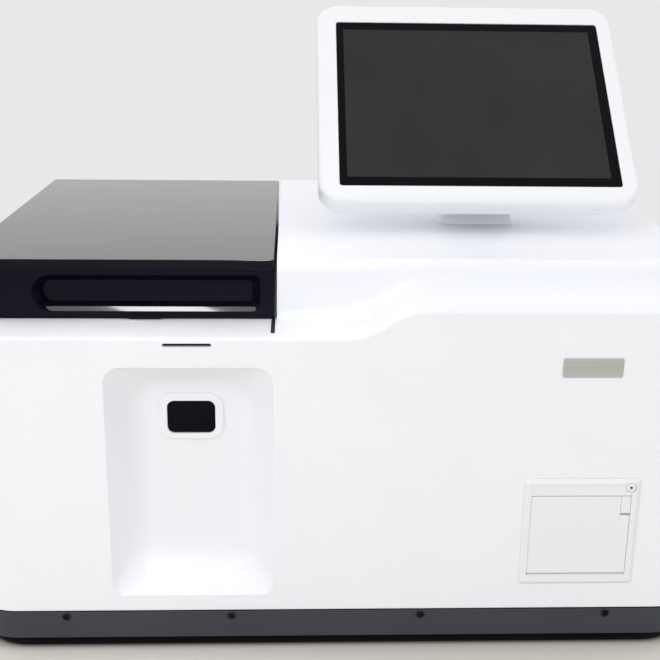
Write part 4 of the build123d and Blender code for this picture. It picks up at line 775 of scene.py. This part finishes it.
# Position numbers
# The places of the incubator disc and of the sample rack are numbered in white print,
# round the disc's knob and beside the two rows of tubes.
DISC_X, DISC_Y, DISC_TOP, DISC_PLACES = -207.0, 5.0, 205.0, 10
DISC_NUMBERS_R, DISC_NUMBERS = 24.0, 6.5
TUBES_X, TUBES_PITCH, TUBES_IN_ROW = -264.0, 20.0, 5
RACK_TOP, RACK_NUMBERS_Y, RACK_NUMBERS = 230.0, (-153.7, -106.3), 5.5
RIGHTWARD, AWAY = Vector((1.0, 0.0, 0.0)), Vector((0.0, 1.0, 0.0))
for i in range(DISC_PLACES):
    turned = 2 * pi * i / DISC_PLACES
    outward = Vector((cos(turned), sin(turned), 0.0))
    printed("disc_number_%d" % (i + 1), str(i + 1), DISC_NUMBERS,
            at(DISC_X, DISC_Y, DISC_TOP) + outward * DISC_NUMBERS_R * MM,
            Vector((sin(turned), -cos(turned), 0.0)), outward, "incubator_disc")
for i in range(2 * TUBES_IN_ROW):
    row, column = divmod(i, TUBES_IN_ROW)
    printed("rack_number_%d" % (i + 1), str(i + 1), RACK_NUMBERS,
            at(TUBES_X + TUBES_PITCH * column, RACK_NUMBERS_Y[row], RACK_TOP), RIGHTWARD, AWAY, "rack")


# Samples and strips
# Spun blood stands in eight of the tubes: dark cells under a gel plug, and amber serum on
# top. Each cartridge has a felt sample pad and a white membrane bonded in its window.
SAMPLE_OUTLINE = ((0.4, 172.4), (5.1, 177.4), (5.1, 226.0), (4.6, 225.6))
GEL_LOW, GEL_HIGH, LAYER_SOFT = 197.0, 202.0, 0.3
TUBE_ROWS_Y, EMPTY_TUBES = (-143.0, -117.0), ((3, 1), (4, 1))
EMPTY_PLACE, STRIP_BASE = 3, 204.55
MEMBRANE_R, MEMBRANE_HALF_LONG, MEMBRANE_HALF_WIDE, MEMBRANE_TOP = 51.0, 7.9, 2.1, 204.8
PADS_R, PAD_OUTLINE = 71.0, ((2.8, STRIP_BASE), (2.8, 205.3), (2.4, 205.6))


def spun_blood():
    """Three layers by height: dark red cells, a pale gel plug and amber serum."""
    material, tree = blank_material("spun_blood")
    split = add(tree, "SeparateXYZ")
    plug(tree, split.inputs[0], add(tree, "TexCoord").outputs["Object"])
    skin = use(tree, MOULDED_SKIN, Grain=0.001, Patch=0.006)
    height = calculate(tree, "ADD", split.outputs["Z"], calculate(tree, "MULTIPLY", skin["Flow"], 0.0006))
    cells = mix_colour(tree, skin["Flow"], (0.09, 0.004, 0.006), (0.13, 0.008, 0.008))
    gel = mix_colour(tree, skin["Flow"], (0.62, 0.52, 0.30), (0.70, 0.60, 0.36))
    serum = mix_colour(tree, skin["Flow"], (0.66, 0.36, 0.06), (0.74, 0.43, 0.09))
    over_cells = spread(tree, height, GEL_LOW * MM, (GEL_LOW + LAYER_SOFT) * MM)
    over_gel = spread(tree, height, GEL_HIGH * MM, (GEL_HIGH + LAYER_SOFT) * MM)
    return finish_off(material, tree, principled(tree, {
        "Base Color": mix_colour(tree, over_gel, mix_colour(tree, over_cells, cells, gel), serum),
        "Roughness": spread(tree, skin["Height"], 0.0, 1.0, 0.08, 0.16)}))


filled = [(TUBES_X + TUBES_PITCH * i, y) for i in range(TUBES_IN_ROW) for j, y in enumerate(TUBE_ROWS_Y)
          if (i, j) not in EMPTY_TUBES]
turned_piece("samples", SAMPLE_OUTLINE, filled, spun_blood(), "rack")
STRIP_WHITE = moulded("strip_white", (0.82, 0.82, 0.80), (0.88, 0.88, 0.87), (0.75, 0.9), grain=0.0003,
                      depth=0.00004)
membranes, membrane_faces, pads = [], [], []
for i in range(DISC_PLACES):
    if i == EMPTY_PLACE:
        continue
    turned = 2 * pi * i / DISC_PLACES
    on_disc = Matrix.Rotation(turned, 3, "Z")
    corners = [on_disc @ Vector((MEMBRANE_R + x, y, 0.0)) for x in (-MEMBRANE_HALF_LONG, MEMBRANE_HALF_LONG)
               for y in (-MEMBRANE_HALF_WIDE, MEMBRANE_HALF_WIDE)]
    membrane_faces += [[len(membranes) + k for k in face] for face in BOX_FACES]
    membranes += [at(DISC_X + c.x, DISC_Y + c.y, z) for c in corners for z in (STRIP_BASE, MEMBRANE_TOP)]
    pads.append((DISC_X + PADS_R * cos(turned), DISC_Y + PADS_R * sin(turned)))
solid_piece("strip_membranes", membranes, membrane_faces, STRIP_WHITE, "incubator_disc")
turned_piece("sample_pads", PAD_OUTLINE, pads, STRIP_WHITE, "incubator_disc")


# Feed button's dot
# A small near-black disc sits in the hollow in the middle of the printer's feed button,
# just behind its rim.
DOT_X, DOT_Z, DOT_R, DOT_BACK, DOT_FRONT = 239.6, 149.6, 1.08, -232.02, -232.4
turned_piece("feed_dot", ((DOT_R, DOT_BACK), (DOT_R, DOT_FRONT)), [(DOT_X, DOT_Z)],
             moulded("dot_black", (0.012, 0.012, 0.016), (0.02, 0.02, 0.024), (0.4, 0.5), grain=0.0004),
             "button", 24, to_front=True)


# Boards in the base
# A green epoxy board with its parts stands in the base tray, left of the power supply.
# The cover hides it, so it shows only when the cover is off.
dress(moulded("board_green", (0.012, 0.09, 0.04), (0.02, 0.12, 0.055), (0.3, 0.45), grain=0.002),
      "control_board")
